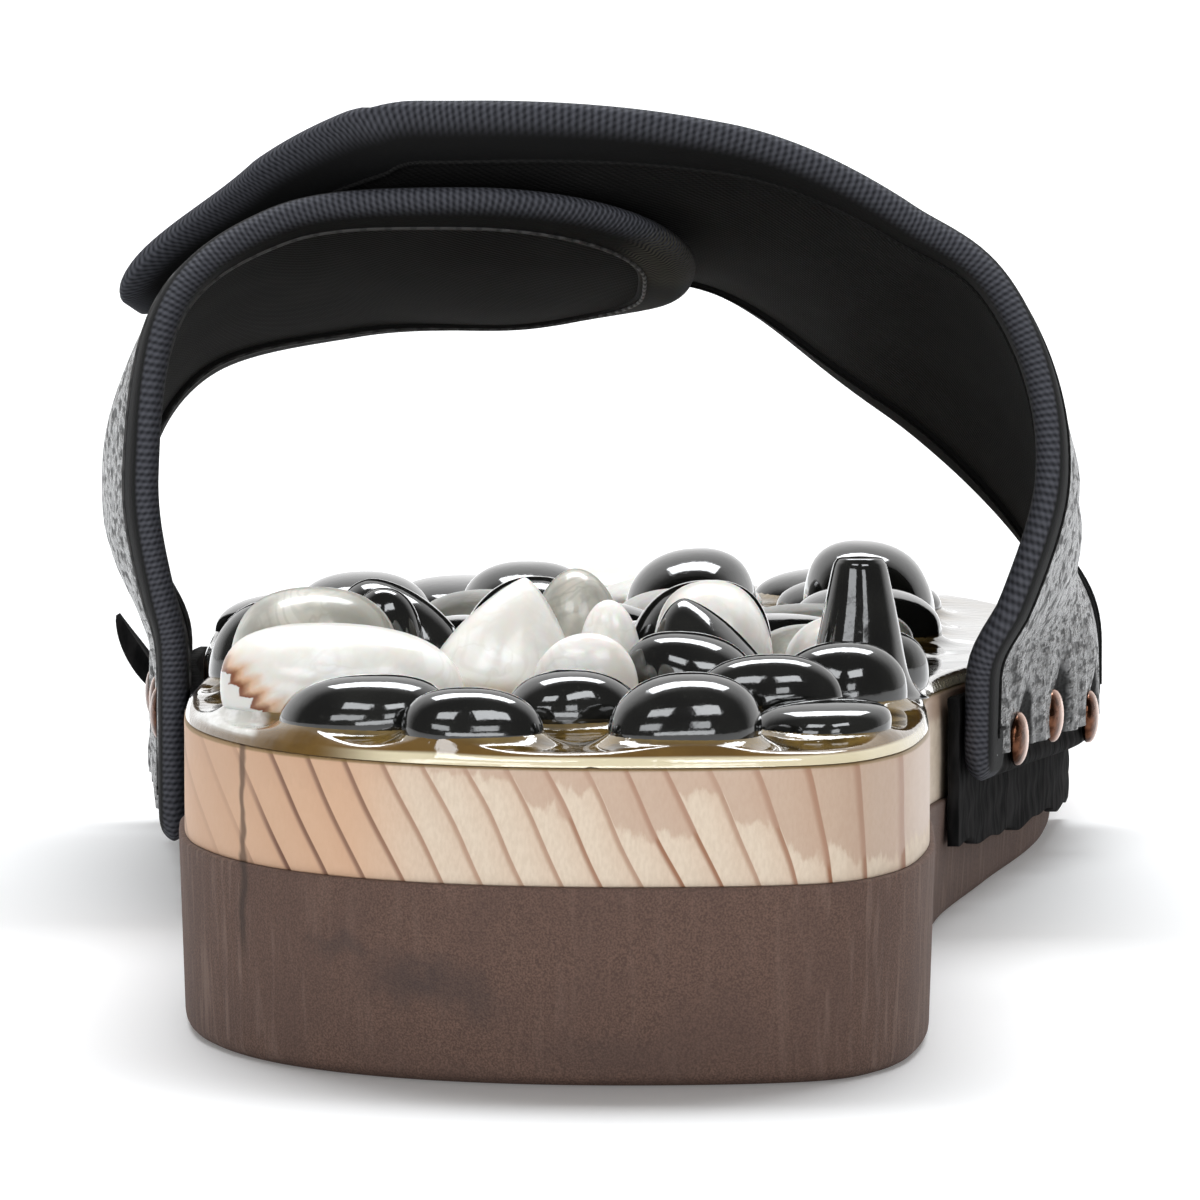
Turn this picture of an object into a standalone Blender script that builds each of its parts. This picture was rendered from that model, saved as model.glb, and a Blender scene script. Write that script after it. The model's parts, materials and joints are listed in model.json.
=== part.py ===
"""Massage sandal for the left foot.

A foam outsole carries a wooden board. Pebbles and an arch peg are set in resin on the board.
A strap in two halves, closed over the instep by a hook-and-loop pad, is nailed to the board's sides.

Tables are in millimetres in the frame of the last: heel back at y = 0, toe along +Y,
medial side along +X, floor at z = 0. Meshes are made in metres under one empty that centres them.
"""
import math
from collections import namedtuple

import bmesh
import bpy
import numpy as np

MM = 0.001
GAP = 0.3  # clearance between neighbouring pieces
LATERAL = -1
MEDIAL = 1
SIDE_NAMES = {LATERAL: "lateral", MEDIAL: "medial"}

# Sole: plan outline and heights
SOLE_LENGTH = 268.0
SOLE_STATIONS = 44
Outline = namedtuple("Outline", "y lateral medial")
SOLE_PLAN = (
    Outline(0.0, 5.5, 5.5),  # heel back
    Outline(4.0, -15.0, 28.8),
    Outline(12.0, -27.0, 35.6),
    Outline(28.0, -36.6, 38.9),  # widest of the heel
    Outline(52.0, -40.0, 38.6),
    Outline(82.0, -41.0, 37.6),
    Outline(114.0, -42.6, 38.6),  # waist
    Outline(145.0, -45.0, 43.5),
    Outline(178.0, -48.4, 49.0),  # ball
    Outline(205.0, -48.2, 49.8),
    Outline(230.0, -42.6, 47.6),
    Outline(252.0, -29.0, 38.8),
    Outline(SOLE_LENGTH, 8.0, 8.0),  # toe tip
)
Wedge = namedtuple("Wedge", "y foam")
FOAM_WEDGE = (
    Wedge(0.0, 20.2),  # heel
    Wedge(45.0, 19.8),
    Wedge(114.0, 13.8),  # waist
    Wedge(160.0, 10.8),
    Wedge(200.0, 8.4),  # ball
    Wedge(SOLE_LENGTH, 6.0),
)
TOE_SPRING = 2.0
SPRING_START = 214.0
FOAM_EDGE = 1.5  # rounding of the lower edge
FOAM_DRAFT = 0.6  # the side leans in towards the floor
FOAM_PROUD = 0.6  # foam stands out past the board
BOARD_THICK = 12.0
BOARD_EDGE = 0.6
RESIN_THICK = 1.3
RESIN_INSET = 1.0
RESIN_EDGE = 0.8

# Strap: sections of its inner face from the medial base over the instep to the lateral base
Section = namedtuple("Section", "place rear_x rear_y rear_z front_x front_y front_z bow")
STRAP_SECTIONS = (
    Section("medial base", 41.0, 118.0, 16.2, 52.0, 199.0, 11.0, 0.0),
    Section("medial rim", 42.0, 119.5, 27.0, 51.5, 199.0, 22.0, 0.0),
    Section("medial flank", 48.4, 123.0, 48.0, 45.2, 198.0, 32.6, 2.6),
    Section("medial shoulder", 45.6, 126.0, 62.4, 36.2, 196.5, 42.0, 2.4),
    Section("medial turn", 40.2, 128.3, 70.0, 29.0, 195.7, 47.8, 1.2),
    Section("medial instep", 32.2, 130.0, 73.0, 20.8, 195.0, 52.6, -0.5),
    Section("crown", 8.0, 133.0, 76.8, 3.0, 193.5, 58.6, -2.5),
    Section("crown lateral", -15.0, 134.0, 76.6, -12.0, 193.0, 57.5, -2.5),
    Section("lateral instep", -36.0, 132.0, 74.0, -31.0, 194.0, 56.3, -0.5),
    Section("lateral shoulder", -45.7, 128.0, 65.5, -47.5, 195.0, 52.0, 2.0),
    Section("lateral flank", -48.0, 124.0, 48.0, -55.0, 196.0, 42.0, 3.0),
    Section("lateral rim", -45.0, 121.0, 28.0, -52.6, 196.0, 23.0, 1.0),
    Section("lateral base", -45.4, 120.0, 8.3, -49.5, 195.0, 5.3, 0.0),
)
BINDING_THICK = 3.3
BINDING_WIDTH = 5.5
BINDING_STEP = 0.35  # step from the binding down to the wall, on each face
BINDING_RAMP = 0.8
EDGE_ROUND = 0.8
SEAT_TOP = 0.5  # below this height over the board the strap follows the sole's side
SEAT_FREE = 10.0  # above this height over the board it is free
ROW_PITCH = 5.0
PANEL_ROWS = 8
FINGER_ROWS = 8  # rows in the shaped free end

# Medial half: outer layer with chamfered corners
OUTER_REAR = -0.05
CHAMFER_START = "lateral instep"
CHAMFER_BACK = 12.0  # the chamfer starts this far before that section
CHAMFER_LENGTH = 27.6
CHAMFER_REAR = 0.36
CHAMFER_FRONT = 0.36
LAYER_RISE = 4.6  # outer layer's inner face above the inner layer's inner face
RISE_LENGTH = 28.0
FLARE = 4.6  # rear edge of the outer layer lifts away
FLARE_WIDTH = 14.0
FLARE_LEFT = 0.4  # part of the flare that is left at the tip

# Lateral half: inner layer with a rounded tongue
TONGUE_TIP = "crown"
TONGUE_LENGTH = 26.0
TONGUE_BACK = 3.0  # the tip lies this far to the medial side of that section
TONGUE_REAR = 0.44
TONGUE_FRONT = 0.44

# Hook-and-loop pad joining the halves
PAD_INSET = 9.0
PAD_REAR = 0.26
PAD_FRONT = 0.74
PAD_BITE = 0.6  # depth of the pad in each wall

# Base strips between the strap and the sole's side
STRIP_THICK = 1.2
STRIP_REAR = 114.0
STRIP_FRONT = 200.0
STRIP_LAP = 5.4  # over the foam, below the board
STRIP_DROP = 0.8  # below the board's top
STRIP_PITCH = 5.0

# Copper nails
NAIL_HEAD_RADIUS = 3.0
NAIL_HEAD_HEIGHT = 1.1
NAIL_SHANK_RADIUS = 1.0
NAIL_HOLE_RADIUS = 1.3
NAIL_DEPTH = 9.0
NAIL_SEGMENTS = 10
NailPlace = namedtuple("NailPlace", "y lateral_rise medial_rise")  # rises above the foam
NAIL_PLACES = (
    NailPlace(132.0, 8.0, 5.7),
    NailPlace(153.0, 8.0, 6.9),
    NailPlace(176.0, 7.5, 5.3),
)

# Pebbles of the heel, as they lie
Pebble = namedtuple("Pebble", "x y width depth height colour")
HEEL_PEBBLES = (
    Pebble(-18.1, 16.3, 17.8, 12.5, 6.3, "black"),
    Pebble(-6.8, 8.3, 14.1, 9.6, 5.8, "black"),
    Pebble(2.7, 20.5, 14.0, 11.0, 6.2, "black"),
    Pebble(14.5, 8.8, 15.9, 12.0, 7.1, "black"),
    Pebble(28.2, 17.5, 14.6, 12.0, 3.6, "black"),
    Pebble(21.5, 29.0, 16.3, 10.0, 6.7, "black"),
    Pebble(14.4, 41.5, 14.9, 11.0, 7.8, "black"),
    Pebble(29.0, 39.5, 13.8, 11.0, 6.8, "black"),
    Pebble(-21.4, 31.2, 26.0, 15.8, 9.4, "white"),
    Pebble(-26.0, 50.5, 18.0, 17.0, 11.5, "grey"),
    Pebble(-6.1, 44.4, 15.7, 18.4, 13.3, "white"),
    Pebble(3.4, 29.6, 10.9, 5.4, 8.8, "white"),
    Pebble(1.4, 61.2, 11.7, 12.8, 12.8, "grey"),
    Pebble(-19.3, 63.5, 9.0, 8.0, 10.8, "black"),
    Pebble(15.9, 55.0, 13.4, 12.0, 10.1, "black"),
    Pebble(14.9, 69.0, 13.3, 13.0, 11.4, "white"),
    Pebble(30.8, 71.5, 14.0, 14.0, 6.4, "black"),
    Pebble(-5.1, 84.0, 15.6, 14.0, 11.0, "black"),
    Pebble(12.8, 86.0, 15.6, 14.5, 11.0, "black"),
    Pebble(-31.6, 69.5, 13.4, 14.0, 9.0, "black"),
    Pebble(-25.7, 91.0, 17.0, 15.0, 8.6, "grey"),
    Pebble(27.6, 90.0, 12.4, 14.0, 7.0, "white"),
    Pebble(5.2, 50.0, 7.4, 6.0, 10.0, "white"),
    Pebble(-17.8, 76.0, 14.6, 12.4, 11.6, "black"),
)
# Pebbles under the strap and the toes, laid in rows from the lateral to the medial side
PebbleRow = namedtuple("PebbleRow", "y lateral medial lateral_height medial_height colours")
FOREFOOT_ROWS = (
    PebbleRow(111.0, -32.0, 25.0, 6.6, 5.6, ("white", "black", "black", "grey")),
    PebbleRow(134.0, -29.0, 21.0, 6.4, 5.6, ("black", "white", "black")),
    PebbleRow(157.0, -30.0, 23.0, 6.0, 5.8, ("white", "black", "grey")),
    PebbleRow(180.0, -37.0, 29.0, 5.2, 6.4, ("black", "grey", "white", "black")),
    PebbleRow(203.0, -32.0, 27.0, 6.2, 10.6, ("black", "black", "black", "black")),
    PebbleRow(226.0, -21.0, 27.0, 4.2, 4.4, ("black", "white", "black")),
    PebbleRow(248.0, -8.0, 24.0, 3.8, 3.8, ("white", "black")),
)
ROW_PEBBLE_WIDTH = 24.0
ROW_PEBBLE_DEPTH = 19.8
ROW_SPACE = 3.0  # least resin between the pebbles of a row, before they are nudged
ROW_JITTER = 1.2
ROW_SMALLEST = 0.92  # smallest pebble, as a part of the largest
ROW_SEED = 7
PEBBLE_SEGMENTS = 10
PebbleRing = namedtuple("PebbleRing", "radius height")
PEBBLE_RINGS = (
    PebbleRing(0.93, 0.0),
    PebbleRing(1.0, 0.32),
    PebbleRing(0.86, 0.7),
    PebbleRing(0.5, 0.94),
)

# Arch peg
PEG_X = 30.8
PEG_Y = 55.0
PegRing = namedtuple("PegRing", "radius height")
PEG_RINGS = (
    PegRing(6.2, 0.0),
    PegRing(5.0, 2.4),
    PegRing(3.9, 8.0),
    PegRing(2.9, 13.2),
    PegRing(2.1, 14.4),
)
PEG_SEGMENTS = 16

# Colours (linear), roughness and metallic value of each material
Finish = namedtuple("Finish", "colour roughness metallic")
FINISHES = {
    "foam": Finish((0.112, 0.069, 0.056), 0.9, 0.0),
    "wood": Finish((0.73, 0.59, 0.44), 0.55, 0.0),
    "resin": Finish((0.2, 0.11, 0.023), 0.08, 0.0),
    "leather": Finish((0.012, 0.012, 0.013), 0.5, 0.0),
    "strip": Finish((0.016, 0.016, 0.017), 0.6, 0.0),
    "copper": Finish((0.62, 0.3, 0.2), 0.3, 1.0),
    "black": Finish((0.007, 0.007, 0.006), 0.06, 0.0),
    "white": Finish((0.75, 0.73, 0.68), 0.12, 0.0),
    "grey": Finish((0.5, 0.48, 0.42), 0.12, 0.0),
}


def smoothstep(start, end, value):
    """Rise from 0 at start to 1 at end."""
    part = np.clip((value - start) / (end - start), 0.0, 1.0)
    return part * part * (3.0 - 2.0 * part)


def curve_through(knots, values, at):
    """Smooth curve through table values, with slopes from the neighbouring rows."""
    at = np.asarray(at, float)
    slopes = np.gradient(values, knots, axis=0)
    index = np.clip(np.searchsorted(knots, at, side="right") - 1, 0, len(knots) - 2)
    span = knots[index + 1] - knots[index]
    part = (at - knots[index]) / span
    if values.ndim > 1:
        span = span[..., None]
        part = part[..., None]
    start_weight = (1.0 + 2.0 * part) * (1.0 - part) ** 2
    end_weight = part ** 2 * (3.0 - 2.0 * part)
    start_pull = part * (1.0 - part) ** 2 * span
    end_pull = part ** 2 * (part - 1.0) * span
    bent = start_pull * slopes[index] + end_pull * slopes[index + 1]
    return start_weight * values[index] + end_weight * values[index + 1] + bent


def unit(vectors):
    """Vectors of length one."""
    return vectors / np.linalg.norm(vectors, axis=-1, keepdims=True)


# Scene and mesh helpers


def clear_scene():
    for item in list(bpy.data.objects):
        bpy.data.objects.remove(item, do_unlink=True)


def make_materials():
    made = {}
    for name, finish in FINISHES.items():
        material = bpy.data.materials.new(name)
        material.use_nodes = True
        shader = material.node_tree.nodes["Principled BSDF"]
        shader.inputs["Base Color"].default_value = (*finish.colour, 1.0)
        shader.inputs["Roughness"].default_value = finish.roughness
        shader.inputs["Metallic"].default_value = finish.metallic
        material.diffuse_color = (*finish.colour, 1.0)
        made[name] = material
    return made


def add_solid(name, points, faces, material, root, smooth=False):
    """Object from points in millimetres and faces, with its normals turned outwards."""
    mesh = bpy.data.meshes.new(name)
    mesh.from_pydata((np.asarray(points) * MM).tolist(), [], faces)
    work = bmesh.new()
    work.from_mesh(mesh)
    bmesh.ops.recalc_face_normals(work, faces=work.faces)
    work.to_mesh(mesh)
    work.free()
    for face in mesh.polygons:
        face.use_smooth = smooth
    mesh.materials.append(material)
    solid = bpy.data.objects.new(name, mesh)
    bpy.context.collection.objects.link(solid)
    solid.parent = root
    return solid


def ring_faces(first, second, count):
    """Quads between two closed rings, given their first point numbers."""
    faces = []
    for i in range(count):
        after = (i + 1) % count
        faces.append((first + i, first + after, second + after, second + i))
    return faces


def turned_shape(rings, segments):
    """Points and faces of rings (width radius, depth radius, height) closed at both ends."""
    angles = np.arange(segments) * 2.0 * math.pi / segments
    points = []
    for width, depth, height in rings:
        for angle in angles:
            points.append((width * math.cos(angle), depth * math.sin(angle), height))
    faces = [tuple(range(segments))]
    for k in range(len(rings) - 1):
        faces += ring_faces(k * segments, (k + 1) * segments, segments)
    last = (len(rings) - 1) * segments
    faces.append(tuple(range(last, last + segments)))
    return np.array(points), faces


def make_tool(solid):
    """Hide a solid that only shapes another one."""
    solid.hide_render = True
    solid.display_type = "WIRE"


def shape_with(solid, tool, operation):
    modifier = solid.modifiers.new(f"{operation.lower()} {tool.name}", "BOOLEAN")
    modifier.operation = operation
    modifier.solver = "EXACT"
    modifier.object = tool


# Sole


def plan_turn(y):
    """Half-turn parameter of y that makes heel and toe round."""
    return np.arccos(1.0 - 2.0 * np.clip(np.asarray(y, float) / SOLE_LENGTH, 0.0, 1.0))


WEDGE_KNOTS = np.array([row.y for row in FOAM_WEDGE])
WEDGE_FOAM = np.array([row.foam for row in FOAM_WEDGE])
PLAN_KNOTS = plan_turn([row.y for row in SOLE_PLAN])
PLAN_EDGES = {
    LATERAL: np.array([row.lateral for row in SOLE_PLAN]),
    MEDIAL: np.array([row.medial for row in SOLE_PLAN]),
}


def plan_x(side, y):
    """Edge of the foam on one side."""
    return curve_through(PLAN_KNOTS, PLAN_EDGES[side], plan_turn(y))


def sole_loop(grow):
    """Plan outline moved outwards: heel, lateral side, toe, medial side."""
    turns = np.linspace(0.0, math.pi, SOLE_STATIONS + 1)
    y = SOLE_LENGTH / 2.0 * (1.0 - np.cos(turns))
    lateral = np.column_stack([plan_x(LATERAL, y), y])
    medial = np.column_stack([plan_x(MEDIAL, y), y])
    loop = np.vstack([lateral, medial[-2:0:-1]])
    along = unit(np.roll(loop, -1, axis=0) - np.roll(loop, 1, axis=0))
    outward = np.column_stack([-along[:, 1], along[:, 0]])
    return loop + grow * outward


def floor_height(y):
    return TOE_SPRING * np.clip((y - SPRING_START) / (SOLE_LENGTH - SPRING_START), 0.0, 1.0) ** 2


def foam_top(y):
    return curve_through(WEDGE_KNOTS, WEDGE_FOAM, np.clip(y, 0.0, SOLE_LENGTH))


def board_top(y):
    return foam_top(y) + BOARD_THICK


def resin_top(y):
    return board_top(y) + RESIN_THICK


def above(height, rise):
    """Height function raised by a constant."""
    return lambda y: height(y) + rise


def add_slab(name, layers, material, root):
    """Solid stacked from outlines; a layer is (outward growth, height function)."""
    count = 2 * SOLE_STATIONS
    rings = []
    faces = []
    for grow, height in layers:
        loop = sole_loop(grow)
        rings.append(np.column_stack([loop, height(loop[:, 1])]))
    for k in range(len(rings) - 1):
        faces += ring_faces(k * count, (k + 1) * count, count)
    for base in (0, (len(rings) - 1) * count):
        for i in range(SOLE_STATIONS):
            corners = (i, i + 1, (count - i - 1) % count, (count - i) % count)
            faces.append(tuple(base + corner for corner in dict.fromkeys(corners)))
    return add_solid(name, np.vstack(rings), faces, material, root)


def add_outsole(materials, root):
    layers = (
        (-FOAM_DRAFT - FOAM_EDGE, floor_height),
        (-FOAM_DRAFT - 0.3 * FOAM_EDGE, above(floor_height, 0.3 * FOAM_EDGE)),
        (-FOAM_DRAFT, above(floor_height, FOAM_EDGE)),
        (0.0, foam_top),
    )
    return add_slab("outsole", layers, materials["foam"], root)


def add_board(materials, root):
    layers = (
        (-FOAM_PROUD, above(foam_top, GAP)),
        (-FOAM_PROUD, above(board_top, -BOARD_EDGE)),
        (-FOAM_PROUD - BOARD_EDGE, board_top),
    )
    return add_slab("wood_board", layers, materials["wood"], root)


def add_resin(materials, root):
    side = -FOAM_PROUD - RESIN_INSET
    layers = (
        (side, above(board_top, GAP)),
        (side, above(resin_top, -RESIN_EDGE)),
        (side - 0.4 * RESIN_EDGE, above(resin_top, -0.4 * RESIN_EDGE)),
        (side - RESIN_EDGE, resin_top),
    )
    return add_slab("resin_bed", layers, materials["resin"], root)


# Strap surface


SECTION_REAR = np.array([(row.rear_x, row.rear_y, row.rear_z) for row in STRAP_SECTIONS])
SECTION_FRONT = np.array([(row.front_x, row.front_y, row.front_z) for row in STRAP_SECTIONS])
SECTION_BOW = np.array([row.bow for row in STRAP_SECTIONS])
SECTION_STEPS = np.linalg.norm(np.diff((SECTION_REAR + SECTION_FRONT) / 2.0, axis=0), axis=1)
SECTION_GIRTH = np.concatenate([[0.0], np.cumsum(SECTION_STEPS)])
GIRTH_OF = {row.place: girth for row, girth in zip(STRAP_SECTIONS, SECTION_GIRTH)}
GIRTH_END = SECTION_GIRTH[-1]
CHAMFER_GIRTH = GIRTH_OF[CHAMFER_START] - CHAMFER_BACK
OUTER_END = CHAMFER_GIRTH + CHAMFER_LENGTH
INNER_END = GIRTH_OF[TONGUE_TIP] - TONGUE_BACK


def seated_x(points):
    """Where the sole's side and the base strip hold the strap's inner face."""
    seat = 2.0 * GAP + STRIP_THICK
    lateral = plan_x(LATERAL, points[..., 1]) - seat
    medial = plan_x(MEDIAL, points[..., 1]) + seat
    return np.where(points[..., 0] > 0.0, medial, lateral)


def strap_face(girth, across):
    """Inner face of the strap: girth in mm from the medial base, across from 0 rear to 1 front."""
    girth, across = np.broadcast_arrays(np.asarray(girth, float), np.asarray(across, float))
    rear = curve_through(SECTION_GIRTH, SECTION_REAR, girth)
    front = curve_through(SECTION_GIRTH, SECTION_FRONT, girth)
    part = across[..., None]
    points = rear + (front - rear) * part
    step = 0.5
    mid_before = curve_through(SECTION_GIRTH, SECTION_REAR + SECTION_FRONT, girth - step)
    mid_after = curve_through(SECTION_GIRTH, SECTION_REAR + SECTION_FRONT, girth + step)
    along = mid_after - mid_before
    outward = unit(np.stack([along[..., 2], 0.0 * girth, -along[..., 0]], axis=-1))
    bow = curve_through(SECTION_GIRTH, SECTION_BOW, girth) * 4.0 * across * (1.0 - across)
    points = points + bow[..., None] * outward
    hold = 1.0 - smoothstep(SEAT_TOP, SEAT_FREE, points[..., 2] - board_top(points[..., 1]))
    points[..., 0] += hold * (seated_x(points) - points[..., 0])
    return points


def strap_normal(girth, across):
    """Outward direction of the strap's inner face."""
    step = 0.5
    slide = 0.01
    along = strap_face(girth + step, across) - strap_face(girth - step, across)
    forward = strap_face(girth, across + slide) - strap_face(girth, across - slide)
    return unit(np.cross(forward, along))


def strap_offset(girth, across, height):
    """Point at a height over the strap's inner face."""
    return strap_face(girth, across) + height[..., None] * strap_normal(girth, across)


def add_wall(name, inside, outside, material, root):
    """Closed wall between two grids of points, with a rounded edge all round."""
    rows, columns = inside.shape[:2]
    rim = [(0, j) for j in range(columns)]
    rim += [(i, columns - 1) for i in range(1, rows)]
    rim += [(rows - 1, j) for j in range(columns - 2, -1, -1)]
    rim += [(i, 0) for i in range(rows - 2, 0, -1)]
    middle = (inside + outside) / 2.0
    edge_points = []
    for i, j in rim:
        within = middle[min(max(i, 1), rows - 2), min(max(j, 1), columns - 2)]
        edge_points.append(middle[i, j] + EDGE_ROUND * unit(middle[i, j] - within))
    points = np.vstack([inside.reshape(-1, 3), outside.reshape(-1, 3), np.array(edge_points)])
    shift = rows * columns
    faces = []
    for i in range(rows - 1):
        for j in range(columns - 1):
            a = i * columns + j
            quad = (a, a + 1, a + columns + 1, a + columns)
            faces.append(quad)
            faces.append(tuple(shift + corner for corner in quad))
    for k, (i, j) in enumerate(rim):
        after = (k + 1) % len(rim)
        here = i * columns + j
        ahead = rim[after][0] * columns + rim[after][1]
        faces.append((here, ahead, 2 * shift + after, 2 * shift + k))
        faces.append((shift + here, shift + ahead, 2 * shift + after, 2 * shift + k))
    return add_solid(name, points, faces, material, root, smooth=True)


def across_lines(width):
    """Lines across a strap of a width, as parts of it, and which of them are binding."""
    bind = min(BINDING_WIDTH, 0.3 * width)
    ramp = min(BINDING_RAMP, 0.05 * width)
    panel = np.linspace(bind + ramp, width - bind - ramp, PANEL_ROWS + 1)
    lines = np.concatenate([[0.0, bind], panel, [width - bind, width]])
    bound = np.concatenate([[True, True], np.zeros(len(panel), bool), [True, True]])
    return lines / width, bound


def strap_half(name, girths, ends_bound, edges, rise, material, root):
    """One half of the strap over rows of girth; ends_bound tells which rows lie in the end binding."""
    inside = []
    outside = []
    for girth, end_bound in zip(girths, ends_bound):
        rear, front = edges(girth)
        span = strap_face(girth, front) - strap_face(girth, rear)
        lines, bound = across_lines(float(np.linalg.norm(span)))
        across = rear + (front - rear) * lines
        row = np.full_like(across, girth)
        step = np.where(bound | end_bound, 0.0, BINDING_STEP)
        low = rise(row, across) + step
        high = rise(row, across) + BINDING_THICK - step
        inside.append(strap_offset(row, across, low))
        outside.append(strap_offset(row, across, high))
    return add_wall(name, np.array(inside), np.array(outside), material, root)


def half_rows(base, shape_start, tip):
    """Rows of girth from the base to the free end's tip, closer together in the shaped end."""
    direction = 1.0 if tip > base else -1.0
    count = int(abs(shape_start - base) / ROW_PITCH)
    plain = np.linspace(base, shape_start, count, endpoint=False)
    swing = np.linspace(0.0, math.pi / 2.0, FINGER_ROWS)
    shaped = shape_start + (tip - shape_start) * np.sin(swing)
    rows = np.concatenate([plain, shaped])
    bind = tip - direction * BINDING_WIDTH
    ramp = bind - direction * BINDING_RAMP
    keep = np.abs(rows - tip) > BINDING_WIDTH + 2.0 * BINDING_RAMP
    rows = np.concatenate([rows[keep], [ramp, bind, (bind + tip) / 2.0, tip]])
    bound = np.abs(rows - tip) < BINDING_WIDTH + BINDING_RAMP / 2.0
    return rows, bound


def outer_edges(girth):
    """Rear and front edge of the medial half, with the corners of its end chamfered."""
    part = np.clip((girth - CHAMFER_GIRTH) / CHAMFER_LENGTH, 0.0, 1.0)
    return OUTER_REAR + part * (CHAMFER_REAR - OUTER_REAR), 1.0 - part * CHAMFER_FRONT


def outer_rise(girth, across):
    """Height of the medial half over the inner layer, with its rear edge flared."""
    lift = smoothstep(INNER_END - RISE_LENGTH, INNER_END - BINDING_RAMP, girth)
    width = np.linalg.norm(strap_face(girth, 1.0) - strap_face(girth, 0.0), axis=-1)
    from_edge = (across - outer_edges(girth)[0]) * width
    flare = FLARE * np.clip(1.0 - from_edge / FLARE_WIDTH, 0.0, 1.0) ** 2
    swell = smoothstep(INNER_END - RISE_LENGTH, CHAMFER_GIRTH, girth)
    settle = 1.0 - (1.0 - FLARE_LEFT) * smoothstep(CHAMFER_GIRTH, OUTER_END, girth)
    return lift * LAYER_RISE + swell * settle * flare


def inner_edges(girth):
    """Rear and front edge of the lateral half, with a rounded tongue."""
    part = np.clip((INNER_END + TONGUE_LENGTH - girth) / TONGUE_LENGTH, 0.0, 0.97)
    taper = 1.0 - math.sqrt(1.0 - part ** 2)
    return taper * TONGUE_REAR, 1.0 - taper * TONGUE_FRONT


def flat_rise(girth, across):
    return 0.0 * girth


def add_pad(material, root):
    """Hook-and-loop pad that reaches into both halves."""
    girths = np.arange(INNER_END + PAD_INSET, OUTER_END - PAD_INSET, ROW_PITCH)
    across = np.linspace(PAD_REAR, PAD_FRONT, PANEL_ROWS)
    girth_grid, across_grid = np.meshgrid(girths, across, indexing="ij")
    wall_top = BINDING_THICK - BINDING_STEP
    low = np.full_like(girth_grid, wall_top - PAD_BITE)
    high = np.full_like(girth_grid, LAYER_RISE + BINDING_STEP + PAD_BITE)
    inside = strap_offset(girth_grid, across_grid, low)
    outside = strap_offset(girth_grid, across_grid, high)
    return add_wall("strap_pad_tool", inside, outside, material, root)


def add_upper(materials, root):
    leather = materials["leather"]
    rows, bound = half_rows(0.0, CHAMFER_GIRTH, OUTER_END)
    upper = strap_half("upper", rows, bound, outer_edges, outer_rise, leather, root)
    rows, bound = half_rows(GIRTH_END, INNER_END + TONGUE_LENGTH, INNER_END)
    inner = strap_half("strap_inner_tool", rows, bound, inner_edges, flat_rise, leather, root)
    pad = add_pad(leather, root)
    for tool in (inner, pad):
        make_tool(tool)
        shape_with(upper, tool, "UNION")
    return upper


# Base strips, nails, pebbles and peg


def add_strip(side, materials, root):
    """Thin strip along the sole's side, under the strap's base."""
    count = int((STRIP_FRONT - STRIP_REAR) / STRIP_PITCH) + 1
    y = np.linspace(STRIP_REAR, STRIP_FRONT, count)
    y_grid, level_grid = np.meshgrid(y, np.linspace(0.0, 1.0, 4), indexing="ij")
    bottom = foam_top(y_grid) - STRIP_LAP
    z_grid = bottom + level_grid * (board_top(y_grid) - STRIP_DROP - bottom)
    near = plan_x(side, y_grid) + side * GAP
    inside = np.stack([near, y_grid, z_grid], axis=-1)
    outside = inside + np.array([side * STRIP_THICK, 0.0, 0.0])
    return add_wall(f"base_strip_{SIDE_NAMES[side]}", inside, outside, materials["strip"], root)


def nail_frame(side, nail):
    """Point on the strap's outer face and the outward direction there, in plan."""
    y = nail.y
    rise = nail.medial_rise if side == MEDIAL else nail.lateral_rise
    slope = (plan_x(side, y + 1.0) - plan_x(side, y - 1.0)) / 2.0
    outward = unit(np.array([side, -side * slope, 0.0]))
    reach = side * (2.0 * GAP + STRIP_THICK + BINDING_THICK)
    return np.array([plan_x(side, y) + reach, y, foam_top(y) + rise]), outward


def along_axis(points, start, axis):
    """Turn a shape made along z so that it runs along a level axis from a start point."""
    sideways = np.array([-axis[1], axis[0], 0.0])
    upward = np.array([0.0, 0.0, 1.0])
    return start + points[:, :1] * sideways + points[:, 1:2] * upward + points[:, 2:] * axis


def nail_depth():
    return NAIL_DEPTH + 2.0 * GAP + STRIP_THICK + BINDING_THICK


def add_nail(side, number, nail, materials, root):
    """Nail with a domed head on the strap and a shank through strap and strip into the board."""
    start, axis = nail_frame(side, nail)
    shank = NAIL_SHANK_RADIUS
    head = NAIL_HEAD_RADIUS
    rings = (
        (shank, shank, -nail_depth()),
        (shank, shank, GAP),
        (head, head, GAP),
        (0.88 * head, 0.88 * head, GAP + 0.5 * NAIL_HEAD_HEIGHT),
        (0.45 * head, 0.45 * head, GAP + 0.95 * NAIL_HEAD_HEIGHT),
    )
    points, faces = turned_shape(rings, NAIL_SEGMENTS)
    name = f"nail_{SIDE_NAMES[side]}_{number}"
    return add_solid(name, along_axis(points, start, axis), faces, materials["copper"], root)


def add_nail_holes(material, root):
    """All the nail holes as one tool."""
    points = np.empty((0, 3))
    faces = []
    rings = (
        (NAIL_HOLE_RADIUS, NAIL_HOLE_RADIUS, -nail_depth() - GAP),
        (NAIL_HOLE_RADIUS, NAIL_HOLE_RADIUS, NAIL_HEAD_HEIGHT),
    )
    for side in (LATERAL, MEDIAL):
        for nail in NAIL_PLACES:
            hole_points, hole_faces = turned_shape(rings, NAIL_SEGMENTS)
            start, axis = nail_frame(side, nail)
            faces += [tuple(len(points) + corner for corner in face) for face in hole_faces]
            points = np.vstack([points, along_axis(hole_points, start, axis)])
    holes = add_solid("nail_hole_tool", points, faces, material, root)
    make_tool(holes)
    return holes


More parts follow.
